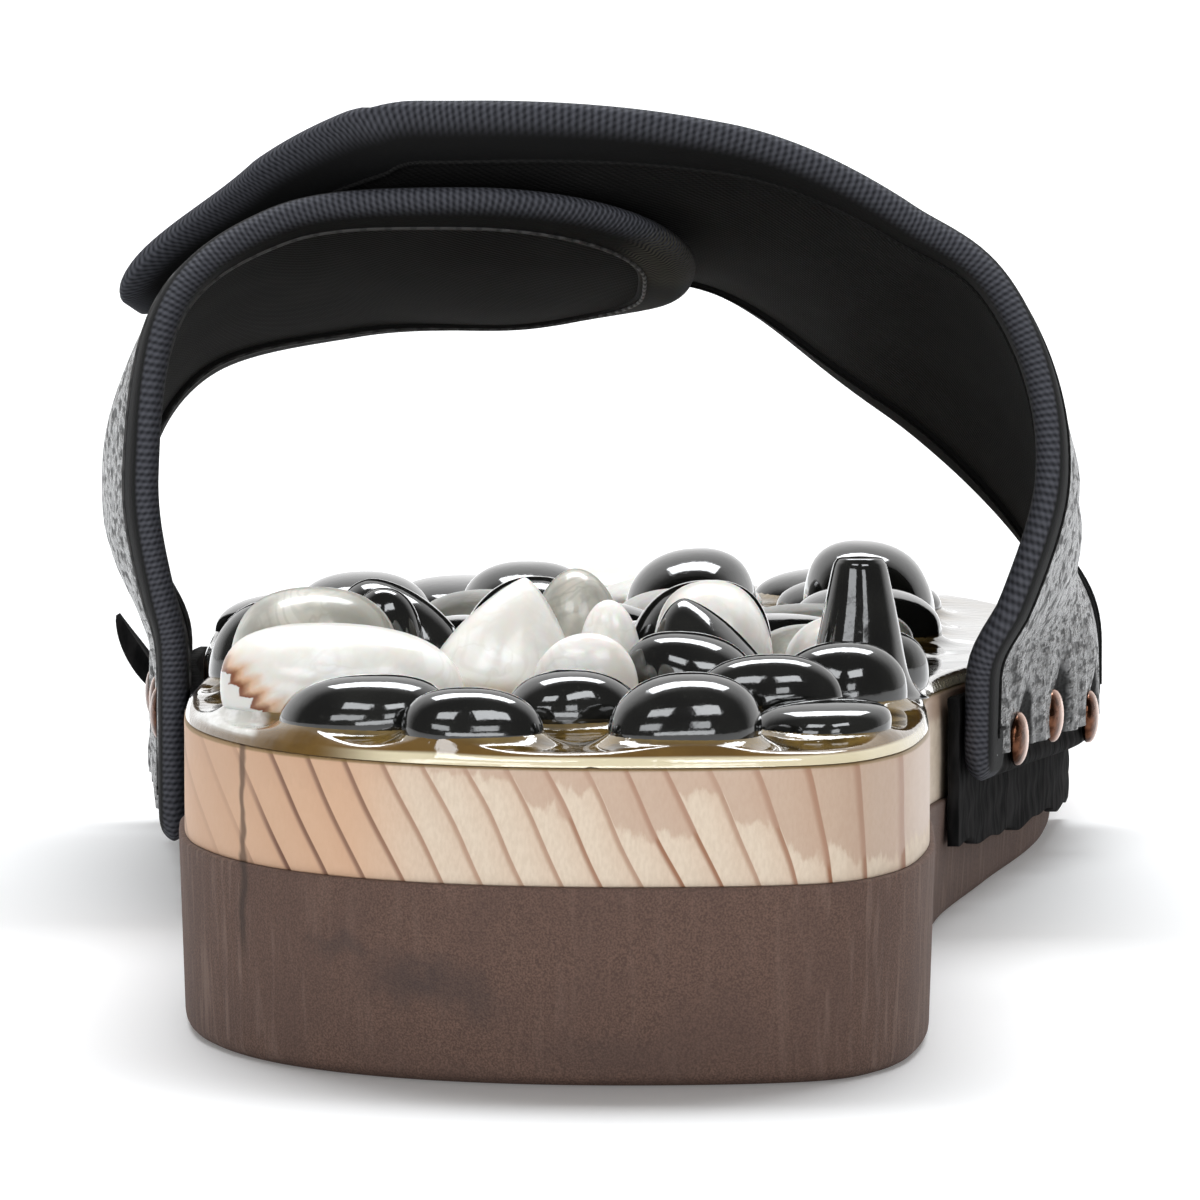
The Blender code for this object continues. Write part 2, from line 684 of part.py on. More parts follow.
def forefoot_pebbles():
    """Pebbles of the rows, nudged and sized a little at random."""
    random = np.random.default_rng(ROW_SEED)
    pebbles = []
    for row in FOREFOOT_ROWS:
        places = np.linspace(row.lateral, row.medial, len(row.colours))
        heights = np.linspace(row.lateral_height, row.medial_height, len(row.colours))
        widest = min(ROW_PEBBLE_WIDTH, places[1] - places[0] - ROW_SPACE)
        for x, height, colour in zip(places, heights, row.colours):
            nudge_x, nudge_y = random.uniform(-ROW_JITTER, ROW_JITTER, 2)
            width, depth = random.uniform(ROW_SMALLEST, 1.0, 2) * (widest, ROW_PEBBLE_DEPTH)
            pebbles.append(Pebble(x + nudge_x, row.y + nudge_y, width, depth, height, colour))
    return pebbles


def add_pebble(number, pebble, materials, root):
    """Pebble as a dome standing on the resin."""
    rings = []
    for ring in PEBBLE_RINGS:
        half_width = pebble.width / 2.0 * ring.radius
        half_depth = pebble.depth / 2.0 * ring.radius
        rings.append((half_width, half_depth, pebble.height * ring.height))
    points, faces = turned_shape(rings, PEBBLE_SEGMENTS)
    points[:, 0] += pebble.x
    points[:, 1] += pebble.y
    points[:, 2] += resin_top(points[:, 1]) + GAP
    name = f"pebble_{number:02d}_{pebble.colour}"
    return add_solid(name, points, faces, materials[pebble.colour], root, smooth=True)


def add_peg(materials, root):
    rings = [(ring.radius, ring.radius, ring.height) for ring in PEG_RINGS]
    points, faces = turned_shape(rings, PEG_SEGMENTS)
    points[:, 0] += PEG_X
    points[:, 1] += PEG_Y
    points[:, 2] += resin_top(points[:, 1]) + GAP
    return add_solid("arch_peg", points, faces, materials["black"], root, smooth=True)


def centre_on_origin(root, solids):
    """Put the middle of the whole shoe's base on the origin."""
    corners = np.array([vertex.co for solid in solids for vertex in solid.data.vertices])
    middle = (corners.min(axis=0) + corners.max(axis=0)) / 2.0
    root.location = (-middle[0], -middle[1], -corners[:, 2].min())


def main():
    clear_scene()
    materials = make_materials()
    root = bpy.data.objects.new("sandal_root", None)
    bpy.context.collection.objects.link(root)
    board = add_board(materials, root)
    upper = add_upper(materials, root)
    strips = [add_strip(side, materials, root) for side in (LATERAL, MEDIAL)]
    solids = [add_outsole(materials, root), board, add_resin(materials, root), upper, *strips]
    holes = add_nail_holes(materials["copper"], root)
    for solid in (board, upper, *strips):
        shape_with(solid, holes, "DIFFERENCE")
    for side in (LATERAL, MEDIAL):
        for number, nail in enumerate(NAIL_PLACES, start=1):
            solids.append(add_nail(side, number, nail, materials, root))
    for number, pebble in enumerate([*HEEL_PEBBLES, *forefoot_pebbles()], start=1):
        solids.append(add_pebble(number, pebble, materials, root))
    solids.append(add_peg(materials, root))
    centre_on_origin(root, solids)


main()
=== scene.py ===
"""Visual model of the massage sandal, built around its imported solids."""
import json
import math
from collections import namedtuple

import bmesh
import bpy
import numpy as np
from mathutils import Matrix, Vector


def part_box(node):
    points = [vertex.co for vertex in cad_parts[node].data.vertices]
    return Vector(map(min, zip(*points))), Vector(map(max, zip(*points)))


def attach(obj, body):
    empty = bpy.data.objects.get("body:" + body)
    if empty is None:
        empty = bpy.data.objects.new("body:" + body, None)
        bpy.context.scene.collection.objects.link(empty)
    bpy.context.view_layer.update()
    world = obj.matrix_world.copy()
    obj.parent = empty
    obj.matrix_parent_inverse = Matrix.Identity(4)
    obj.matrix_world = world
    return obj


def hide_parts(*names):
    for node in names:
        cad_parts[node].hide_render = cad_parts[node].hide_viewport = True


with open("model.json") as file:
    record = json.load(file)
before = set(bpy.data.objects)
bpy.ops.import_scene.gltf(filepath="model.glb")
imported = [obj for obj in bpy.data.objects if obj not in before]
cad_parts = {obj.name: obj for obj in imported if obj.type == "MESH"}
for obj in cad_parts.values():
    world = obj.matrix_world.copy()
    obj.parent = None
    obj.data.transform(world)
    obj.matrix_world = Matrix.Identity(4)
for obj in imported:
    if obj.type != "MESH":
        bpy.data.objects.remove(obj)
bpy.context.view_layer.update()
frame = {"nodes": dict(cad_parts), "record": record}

# Shapes are worked out in millimetres in the frame of the last: heel back at y = 0, toe along +Y,
# medial side along +X, floor at z = 0. ROOT is that frame's origin in metres.
MM = 0.001
LATERAL = -1
MEDIAL = 1
SIDE_NAMES = {LATERAL: "lateral", MEDIAL: "medial"}
HEEL_MOUNT_Y = 32.0
HEEL_MOUNT = next(mount for mount in frame["record"]["mounts"] if mount["name"] == "floor_heel")

# Sole
SOLE_LENGTH = 268.0
SOLE_STATIONS = 220
Outline = namedtuple("Outline", "y lateral medial")
SOLE_PLAN = (
    Outline(0.0, 5.5, 5.5),
    Outline(4.0, -15.0, 28.8),
    Outline(12.0, -27.0, 35.6),
    Outline(28.0, -36.6, 38.9),
    Outline(52.0, -40.0, 38.6),
    Outline(82.0, -41.0, 37.6),
    Outline(114.0, -42.6, 38.6),
    Outline(145.0, -45.0, 43.5),
    Outline(178.0, -48.4, 49.0),
    Outline(205.0, -48.2, 49.8),
    Outline(230.0, -42.6, 47.6),
    Outline(252.0, -29.0, 38.8),
    Outline(SOLE_LENGTH, 8.0, 8.0),
)
Wedge = namedtuple("Wedge", "y foam")
FOAM_WEDGE = (
    Wedge(0.0, 20.2),
    Wedge(45.0, 19.8),
    Wedge(114.0, 13.8),
    Wedge(160.0, 10.8),
    Wedge(200.0, 8.4),
    Wedge(SOLE_LENGTH, 6.0),
)
TOE_SPRING = 2.0
SPRING_START = 214.0
FOAM_EDGE = 1.5
FOAM_DRAFT = 0.6
FOAM_PROUD = 0.6
FOAM_SIDE_ROWS = 10
FOAM_TOP_EDGE = 0.3
GLUE_EDGE = 0.15
BOARD_THICK = 12.0
BOARD_EDGE = 0.6
RESIN_THICK = 1.3
RESIN_INSET = 0.15
RESIN_ROLL = 1.2  # the pool's surface rounds down to its rim over this width
RESIN_SWELL = 0.12
RESIN_STATIONS = 400
RESIN_COLUMNS = 130
MENISCUS = 1.5  # resin climbs the pebbles this far
MENISCUS_STONE = 5.0  # and less far on pebbles lower than this
MENISCUS_REACH = 1.3

# Strap
Section = namedtuple("Section", "place rear_x rear_y rear_z front_x front_y front_z bow")
STRAP_SECTIONS = (
    Section("medial base", 41.0, 118.0, 16.2, 52.0, 199.0, 11.0, 0.0),
    Section("medial rim", 42.0, 119.5, 27.0, 51.5, 199.0, 22.0, 0.0),
    Section("medial flank", 48.4, 123.0, 48.0, 45.2, 198.0, 32.6, 2.6),
    Section("medial shoulder", 45.6, 126.0, 62.4, 36.2, 196.5, 42.0, 2.4),
    Section("medial turn", 40.2, 128.3, 70.0, 29.0, 195.7, 47.8, 1.2),
    Section("medial instep", 32.2, 130.0, 73.0, 20.8, 195.0, 52.6, -0.5),
    Section("crown", 8.0, 133.0, 76.8, 3.0, 193.5, 58.6, -2.5),
    Section("crown lateral", -15.0, 134.0, 76.6, -12.0, 193.0, 57.5, -2.5),
    Section("lateral instep", -36.0, 132.0, 74.0, -31.0, 194.0, 56.3, -0.5),
    Section("lateral shoulder", -45.7, 128.0, 65.5, -47.5, 195.0, 52.0, 2.0),
    Section("lateral flank", -48.0, 124.0, 48.0, -55.0, 196.0, 42.0, 3.0),
    Section("lateral rim", -45.0, 121.0, 28.0, -52.6, 196.0, 23.0, 1.0),
    Section("lateral base", -45.4, 120.0, 8.3, -49.5, 195.0, 5.3, 0.0),
)
BINDING_THICK = 3.3
BINDING_STEP = 0.35
BINDING_WIDTH = 5.5
EDGE_ROUND = 0.8
GAP = 0.3
SEAT_TOP = 0.5
SEAT_FREE = 10.0
OUTER_REAR = -0.05
CHAMFER_START = "lateral instep"
CHAMFER_BACK = 12.0
CHAMFER_LENGTH = 27.6
CHAMFER_REAR = 0.36
CHAMFER_FRONT = 0.36
LAYER_RISE = 4.6
RISE_LENGTH = 28.0
RISE_RAMP = 0.8
FLARE = 4.6
FLARE_WIDTH = 14.0
FLARE_LEFT = 0.4
TONGUE_TIP = "crown"
TONGUE_LENGTH = 26.0
TONGUE_STEPS = 12
TONGUE_BACK = 3.0
TONGUE_BLUNT = 0.97  # the tongue stops at this part of its taper
TONGUE_REAR = 0.44
TONGUE_FRONT = 0.44
PAD_INSET = 9.0
PAD_REAR = 0.2
PAD_FRONT = 0.8
PAD_ROWS = 50
PAD_FUZZ = 0.12
PAD_BITE = 0.3  # the pad goes this far into both halves
WALL_INSET = 2.0  # the walls end this far inside the binding's fold
WALL_PITCH = 1.3
WALL_COLUMNS = 60
EDGE_PITCH = 1.0
CORNER_ROUND = 4.0
CORNER_STEPS = 9
FLAT_WIDTH = 72.0  # mean width of the strap, to lay its edges out flat

# Base strips and nails
STRIP_THICK = 1.2
STRIP_REAR = 114.0
STRIP_FRONT = 200.0
STRIP_LAP = 5.4
STRIP_DROP = 0.8
NAIL_HEAD_RADIUS = 3.0
NAIL_HEAD_HEIGHT = 1.1
NAIL_UNDER = 0.5
NAIL_SHANK = 6.0
NAIL_SHANK_RADIUS = 1.0
NAIL_SEGMENTS = 32
NAIL_RINGS = 8
NailPlace = namedtuple("NailPlace", "y lateral_rise medial_rise")  # rises above the foam
NAIL_PLACES = (
    NailPlace(132.0, 8.0, 5.7),
    NailPlace(153.0, 8.0, 6.9),
    NailPlace(176.0, 7.5, 5.3),
)

# Camera: where the photo was taken from, its focal length in pixels and the window round the shoe
CAMERA_X = 62.4
CAMERA_BACK = 1145.0
CAMERA_HEIGHT = 185.5
FOCAL_PIXELS = 5668.0
WINDOW_RIGHT = -277.0  # middle of the window, in pixels from the photo's axis
WINDOW_DOWN = 675.0
WINDOW_SIZE = 590.0
SENSOR = 36.0


def smoothstep(start, end, value):
    """Rise from 0 at start to 1 at end."""
    part = np.clip((value - start) / (end - start), 0.0, 1.0)
    return part * part * (3.0 - 2.0 * part)


def curve_through(knots, values, at):
    """Smooth curve through table values, with slopes from the neighbouring rows."""
    at = np.asarray(at, float)
    slopes = np.gradient(values, knots, axis=0)
    index = np.clip(np.searchsorted(knots, at, side="right") - 1, 0, len(knots) - 2)
    span = knots[index + 1] - knots[index]
    part = (at - knots[index]) / span
    if values.ndim > 1:
        span = span[..., None]
        part = part[..., None]
    start_weight = (1.0 + 2.0 * part) * (1.0 - part) ** 2
    end_weight = part ** 2 * (3.0 - 2.0 * part)
    start_pull = part * (1.0 - part) ** 2 * span
    end_pull = part ** 2 * (part - 1.0) * span
    bent = start_pull * slopes[index] + end_pull * slopes[index + 1]
    return start_weight * values[index] + end_weight * values[index + 1] + bent


def unit(vectors):
    """Vectors of length one."""
    return vectors / np.linalg.norm(vectors, axis=-1, keepdims=True)


def even_turn(count):
    """Angles spread evenly round a full turn."""
    return np.arange(count) * 2.0 * math.pi / count


def ripple(*phases):
    """Even, soft wave between -1 and 1 from several phases."""
    return sum(np.sin(phase) for phase in phases) / len(phases)


# Sole shapes


def plan_turn(y):
    """Half-turn parameter of y that makes heel and toe round."""
    return np.arccos(1.0 - 2.0 * np.clip(np.asarray(y, float) / SOLE_LENGTH, 0.0, 1.0))


WEDGE_KNOTS = np.array([row.y for row in FOAM_WEDGE])
WEDGE_FOAM = np.array([row.foam for row in FOAM_WEDGE])
PLAN_KNOTS = plan_turn([row.y for row in SOLE_PLAN])
PLAN_EDGES = {
    LATERAL: np.array([row.lateral for row in SOLE_PLAN]),
    MEDIAL: np.array([row.medial for row in SOLE_PLAN]),
}


def plan_x(side, y):
    """Edge of the foam on one side."""
    return curve_through(PLAN_KNOTS, PLAN_EDGES[side], plan_turn(y))


def sole_loop(grow, stations):
    """Plan outline moved outwards: heel, lateral side, toe, medial side."""
    turns = np.linspace(0.0, math.pi, stations + 1)
    y = SOLE_LENGTH / 2.0 * (1.0 - np.cos(turns))
    lateral = np.column_stack([plan_x(LATERAL, y), y])
    medial = np.column_stack([plan_x(MEDIAL, y), y])
    loop = np.vstack([lateral, medial[-2:0:-1]])
    along = unit(np.roll(loop, -1, axis=0) - np.roll(loop, 1, axis=0))
    outward = np.column_stack([-along[:, 1], along[:, 0]])
    return loop + grow * outward


def floor_height(y):
    return TOE_SPRING * np.clip((y - SPRING_START) / (SOLE_LENGTH - SPRING_START), 0.0, 1.0) ** 2


def foam_top(y):
    return curve_through(WEDGE_KNOTS, WEDGE_FOAM, np.clip(y, 0.0, SOLE_LENGTH))


def board_top(y):
    return foam_top(y) + BOARD_THICK


def resin_top(y):
    return board_top(y) + RESIN_THICK


# Strap surface

SECTION_REAR = np.array([(row.rear_x, row.rear_y, row.rear_z) for row in STRAP_SECTIONS])
SECTION_FRONT = np.array([(row.front_x, row.front_y, row.front_z) for row in STRAP_SECTIONS])
SECTION_BOW = np.array([row.bow for row in STRAP_SECTIONS])
SECTION_STEPS = np.linalg.norm(np.diff((SECTION_REAR + SECTION_FRONT) / 2.0, axis=0), axis=1)
SECTION_GIRTH = np.concatenate([[0.0], np.cumsum(SECTION_STEPS)])
GIRTH_OF = {row.place: girth for row, girth in zip(STRAP_SECTIONS, SECTION_GIRTH)}
GIRTH_END = SECTION_GIRTH[-1]
CHAMFER_GIRTH = GIRTH_OF[CHAMFER_START] - CHAMFER_BACK
OUTER_END = CHAMFER_GIRTH + CHAMFER_LENGTH
INNER_END = GIRTH_OF[TONGUE_TIP] - TONGUE_BACK


def seated_x(points):
    """Where the sole's side and the base strip hold the strap's inner face."""
    seat = 2.0 * GAP + STRIP_THICK
    lateral = plan_x(LATERAL, points[..., 1]) - seat
    medial = plan_x(MEDIAL, points[..., 1]) + seat
    return np.where(points[..., 0] > 0.0, medial, lateral)


def strap_face(girth, across):
    """Inner face of the strap: girth in mm from the medial base, across from 0 rear to 1 front."""
    girth, across = np.broadcast_arrays(np.asarray(girth, float), np.asarray(across, float))
    rear = curve_through(SECTION_GIRTH, SECTION_REAR, girth)
    front = curve_through(SECTION_GIRTH, SECTION_FRONT, girth)
    points = rear + (front - rear) * across[..., None]
    step = 0.5
    mid_before = curve_through(SECTION_GIRTH, SECTION_REAR + SECTION_FRONT, girth - step)
    mid_after = curve_through(SECTION_GIRTH, SECTION_REAR + SECTION_FRONT, girth + step)
    along = mid_after - mid_before
    outward = unit(np.stack([along[..., 2], 0.0 * girth, -along[..., 0]], axis=-1))
    bow = curve_through(SECTION_GIRTH, SECTION_BOW, girth) * 4.0 * across * (1.0 - across)
    points = points + bow[..., None] * outward
    hold = 1.0 - smoothstep(SEAT_TOP, SEAT_FREE, points[..., 2] - board_top(points[..., 1]))
    points[..., 0] += hold * (seated_x(points) - points[..., 0])
    return points


def strap_normal(girth, across):
    """Outward direction of the strap's inner face."""
    step = 0.5
    slide = 0.01
    along = strap_face(girth + step, across) - strap_face(girth - step, across)
    forward = strap_face(girth, across + slide) - strap_face(girth, across - slide)
    return unit(np.cross(forward, along))


def strap_width(girth):
    return np.linalg.norm(strap_face(girth, 1.0) - strap_face(girth, 0.0), axis=-1)


def outer_edges(girth):
    """Rear and front edge of the medial half, with the corners of its end chamfered."""
    part = np.clip((girth - CHAMFER_GIRTH) / CHAMFER_LENGTH, 0.0, 1.0)
    return OUTER_REAR + part * (CHAMFER_REAR - OUTER_REAR), 1.0 - part * CHAMFER_FRONT


def outer_rise(girth, across):
    """Height of the medial half over the inner layer, with its rear edge flared."""
    lift = smoothstep(INNER_END - RISE_LENGTH, INNER_END - RISE_RAMP, girth)
    from_edge = (across - outer_edges(girth)[0]) * strap_width(girth)
    flare = FLARE * np.clip(1.0 - from_edge / FLARE_WIDTH, 0.0, 1.0) ** 2
    swell = smoothstep(INNER_END - RISE_LENGTH, CHAMFER_GIRTH, girth)
    settle = 1.0 - (1.0 - FLARE_LEFT) * smoothstep(CHAMFER_GIRTH, OUTER_END, girth)
    return lift * LAYER_RISE + swell * settle * flare


def inner_edges(girth):
    """Rear and front edge of the lateral half, with a rounded tongue."""
    part = np.clip((INNER_END + TONGUE_LENGTH - girth) / TONGUE_LENGTH, 0.0, TONGUE_BLUNT)
    taper = 1.0 - np.sqrt(1.0 - part ** 2)
    return taper * TONGUE_REAR, 1.0 - taper * TONGUE_FRONT


def flat_rise(girth, across):
    return 0.0 * girth


# Mesh helpers

ROOT = Vector(HEEL_MOUNT["pos_m"]) - Vector((0.0, HEEL_MOUNT_Y * MM, 0.0))


def add_piece(name, points, faces, materials, nodes, uv=None, face_materials=None):
    """Smooth mesh in millimetres of the last's frame, which rides on the root and stands for CAD nodes."""
    mesh = bpy.data.meshes.new(name)
    mesh.from_pydata((np.asarray(points) * MM).tolist(), [], faces)
    for material in materials:
        mesh.materials.append(material)
    if uv is not None:
        layer = mesh.uv_layers.new(name="flat")
        corners = np.empty(len(mesh.loops), np.int32)
        mesh.loops.foreach_get("vertex_index", corners)
        layer.data.foreach_set("uv", np.asarray(uv, np.float32)[corners].ravel())
    if face_materials is not None:
        mesh.polygons.foreach_set("material_index", np.asarray(face_materials, np.int32))
    turn_outwards(mesh)
    mesh.polygons.foreach_set("use_smooth", np.ones(len(mesh.polygons), bool))
    piece = bpy.data.objects.new(name, mesh)
    bpy.context.collection.objects.link(piece)
    piece.location = ROOT
    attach(piece, "root")
    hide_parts(*nodes)
    return piece


def turn_outwards(mesh):
    work = bmesh.new()
    work.from_mesh(mesh)
    bmesh.ops.recalc_face_normals(work, faces=work.faces)
    work.to_mesh(mesh)
    work.free()


def grid_faces(rows, columns, around=False, start=0):
    """Quads of a grid stored row by row; around joins the last column to the first."""
    faces = []
    wide = columns if around else columns - 1
    for i in range(rows - 1):
        here = start + i * columns
        above = here + columns
        for j in range(wide):
            after = (j + 1) % columns
            faces.append((here + j, here + after, above + after, above + j))
    return faces


def wall_rim(rows, columns):
    """Point numbers round the border of a grid."""
    rim = list(range(columns))
    rim += [i * columns + columns - 1 for i in range(1, rows)]
    rim += [(rows - 1) * columns + j for j in range(columns - 2, -1, -1)]
    rim += [i * columns for i in range(rows - 2, 0, -1)]
    return rim


def shell_mesh(inside, outside):
    """Points and faces of a thin shell: two grids of points, joined round their border."""
    rows, columns = inside.shape[:2]
    count = rows * columns
    faces = grid_faces(rows, columns) + grid_faces(rows, columns, start=count)
    rim = wall_rim(rows, columns)
    for here, ahead in zip(rim, rim[1:] + rim[:1]):
        faces.append((here, ahead, ahead + count, here + count))
    return np.vstack([inside.reshape(-1, 3), outside.reshape(-1, 3)]), faces


def turned_faces(rings, segments):
    """Faces of stacked closed rings, with an end face at the first and a point after the last."""
    faces = [tuple(range(segments))]
    faces += grid_faces(rings, segments, around=True)
    tip = rings * segments
    last = tip - segments
    faces += [(last + j, last + (j + 1) % segments, tip) for j in range(segments)]
    return faces


# Sole pieces

Layer = namedtuple("Layer", "grow part rise")


def slab_shape(bottom, top, layers):
    """Points and faces stacked from outlines between two height functions of y."""
    count = 2 * SOLE_STATIONS
    rings = []
    for layer in layers:
        loop = sole_loop(layer.grow, SOLE_STATIONS)
        low = bottom(loop[:, 1])
        height = low + layer.part * (top(loop[:, 1]) - low) + layer.rise
        rings.append(np.column_stack([loop, height]))
    faces = grid_faces(len(rings), count, around=True)
    for base in (0, (len(rings) - 1) * count):
        for i in range(SOLE_STATIONS):
            corners = (i, i + 1, (count - i - 1) % count, (count - i) % count)
            faces.append(tuple(base + corner for corner in dict.fromkeys(corners)))
    return np.vstack(rings), faces


def rounded_layers(side, radius, steps, part, outward_up):
    """Layers of a quarter-round edge; outward_up is 1 at a lower edge and -1 at an upper edge."""
    layers = []
    for turn in np.linspace(0.0, math.pi / 2.0, steps):
        pull = radius * (1.0 - math.sin(turn))
        lift = radius * (1.0 - math.cos(turn))
        layers.append(Layer(side - pull, part, outward_up * lift))
    return layers


def add_foam(materials):
    layers = rounded_layers(-FOAM_DRAFT, FOAM_EDGE, 6, 0.0, 1.0)
    for part in np.linspace(0.1, 0.9, FOAM_SIDE_ROWS):
        layers.append(Layer(-FOAM_DRAFT * (1.0 - part), part, FOAM_EDGE * (1.0 - part)))
    layers += rounded_layers(0.0, FOAM_TOP_EDGE, 4, 1.0, -1.0)[::-1]
    points, faces = slab_shape(floor_height, foam_top, layers)
    return add_piece("foam_wedge", points, faces, [materials["foam"]], ["outsole"])


def add_board(materials):
    side = -FOAM_PROUD
    layers = rounded_layers(side, GLUE_EDGE, 3, 0.0, 1.0)
    for part in np.linspace(0.1, 0.9, FOAM_SIDE_ROWS):
        layers.append(Layer(side, part, 0.0))
    layers += rounded_layers(side, BOARD_EDGE, 5, 1.0, -1.0)[::-1]
    points, faces = slab_shape(foam_top, board_top, layers)
    return add_piece("pine_board", points, faces, [materials["wood"]], ["wood_board"])


# Pebbles

Stone = namedtuple("Stone", "node colour x y half_width half_depth height number")
STONE_RINGS = 18
STONE_SEGMENTS = 40
STONE_WAIST = 0.16  # height of the widest ring, as a part of the stone's height
STONE_SINK = 0.15  # part of the height that goes on down into the resin
STONE_UNDER = 0.32  # the stone closes this far below its widest ring
STONE_ROUND = 2.3  # exponent of the profile; less is more peaked
STONE_LEAN = 0.12
STONE_DENT = 0.035
STONE_SEED = 100
Shape = namedtuple("Shape", "power bulge lean")  # low powers are more peaked; lean is in half widths
SHAPES = {
    "pebble_05_black": Shape(3.2, 2.4, 0.1),
    "pebble_07_black": Shape(2.6, 2.3, -0.2),
    "pebble_09_white": Shape(2.7, 2.2, -0.12),
    "pebble_10_grey": Shape(2.8, 2.2, 0.05),
    "pebble_11_white": Shape(1.35, 1.3, 0.34),
    "pebble_12_white": Shape(2.4, 2.1, 0.05),
    "pebble_13_grey": Shape(1.9, 1.9, -0.1),
    "pebble_15_black": Shape(1.6, 1.5, -0.5),
    "pebble_23_white": Shape(2.2, 2.0, -0.1),
    "pebble_24_black": Shape(1.9, 1.8, -0.5),
}
CAD_DEPTH_REACH = math.sin(math.radians(72.0))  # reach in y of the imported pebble's ten-sided rings
CAD_TOP = 0.94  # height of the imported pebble, as a part of the stone's height


def read_stones():
    """Places and sizes of the pebbles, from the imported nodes."""
    stones = []
    for node in sorted(name for name in frame["nodes"] if name.startswith("pebble_")):
        low, high = (np.array(corner - ROOT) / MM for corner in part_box(node))
        middle = (low + high) / 2.0
        half = (high - low) / 2.0
        height = (high[2] - resin_top(middle[1]) - GAP) / CAD_TOP
        number = int(node.split("_")[1])
        colour = node.split("_")[2]
        depth = half[1] / CAD_DEPTH_REACH
        stones.append(Stone(node, colour, middle[0], middle[1], half[0], depth, height, number))
    return stones


def stone_outline(stone, angle):
    """Plan radius of a stone by angle, as a part of its ellipse: not quite even, as pebbles are."""
    random = np.random.default_rng(stone.number)
    first, second, third = random.uniform(0.0, 2.0 * math.pi, 3)
    wave = 0.035 * np.sin(2.0 * angle + first) + 0.03 * np.sin(3.0 * angle + second)
    return 0.985 + wave + 0.012 * np.sin(5.0 * angle + third)


def add_stone(stone, materials):
    """Smooth pebble, widest a little above the resin and sunk into it."""
    random = np.random.default_rng(STONE_SEED + stone.number)
    lean, lean_ahead = random.uniform(-STONE_LEAN, STONE_LEAN, 2)
    power, bulge, lean = SHAPES.get(stone.node, Shape(STONE_ROUND, STONE_ROUND, lean))
    dents = random.uniform(0.0, 2.0 * math.pi, 3)
    angle = even_turn(STONE_SEGMENTS)
    levels = 1.0 - (1.0 + STONE_SINK) * np.linspace(1.0, 0.0, STONE_RINGS + 1)[:-1] ** 1.8
    rows = []
    for level in np.append(levels, 1.0):
        reach = 1.0 - STONE_WAIST if level > STONE_WAIST else STONE_UNDER
        lift = min(abs(level - STONE_WAIST) / reach, 1.0)
        radius = (1.0 - lift ** power) ** (1.0 / bulge)
        even = smoothstep(0.55, 1.0, level)
        around = radius * (stone_outline(stone, angle) * (1.0 - even) + even)
        tip = max(level, 0.0) ** 1.5
        x = stone.half_width * (around * np.cos(angle) + lean * tip)
        y = stone.half_depth * (around * np.sin(angle) + lean_ahead * tip)
        dent = ripple(2.2 * x / stone.half_width + dents[0], 2.6 * y / stone.half_depth + dents[1])
        z = stone.height * (level + STONE_DENT * dent * smoothstep(0.0, 0.6, level))
        rows.append(np.column_stack([x + stone.x, y + stone.y, z + resin_top(y + stone.y)]))
    points = np.vstack(rows[:-1] + [rows[-1][:1]])
    faces = turned_faces(STONE_RINGS, STONE_SEGMENTS)
    uv = np.column_stack([0.0 * points[:, 0], (points[:, 2] - resin_top(points[:, 1])) / stone.height])
    finish = materials.get(stone.node, materials[stone.colour])
    name = f"stone_{stone.number:02d}_{stone.colour}"
    return add_piece(name, points, faces, [finish], [stone.node], uv)


# Arch peg

PEG_X = 30.8
PEG_Y = 55.0
PEG_SEGMENTS = 48
PEG_STEPS = 48
PEG_FOOT = 0.1  # the foot runs out towards the medial side
PegRing = namedtuple("PegRing", "radius height")
PEG_RINGS = (
    PegRing(6.6, 0.0),
    PegRing(5.9, 0.6),
    PegRing(5.1, 2.2),
    PegRing(4.6, 4.4),
    PegRing(3.9, 8.4),
    PegRing(3.0, 13.2),
    PegRing(2.6, 14.3),
    PegRing(2.1, 14.65),
    PegRing(0.9, 14.75),
)


def add_peg(materials):
    knots = np.arange(len(PEG_RINGS), dtype=float)
    rings = np.array([(ring.radius, ring.height) for ring in PEG_RINGS])
    smooth = curve_through(knots, rings, np.linspace(0.0, knots[-1], PEG_STEPS))
    angle = even_turn(PEG_SEGMENTS)
    rows = []
    for radius, height in smooth:
        foot = PEG_FOOT * np.maximum(np.cos(angle), 0.0) * math.exp(-height / 1.2)
        uneven = radius * (1.0 + 0.02 * np.sin(2.0 * angle + 0.3 * height) + foot)
        y = PEG_Y + uneven * np.sin(angle)
        rows.append(np.column_stack([PEG_X + uneven * np.cos(angle), y, resin_top(y) + height]))
    tip = [[PEG_X, PEG_Y, resin_top(PEG_Y) + PEG_RINGS[-1].height + 0.05]]
    points = np.vstack(rows + [tip])
    faces = turned_faces(PEG_STEPS, PEG_SEGMENTS)
    return add_piece("massage_peg", points, faces, [materials["black"]], ["arch_peg"])


# Resin pool


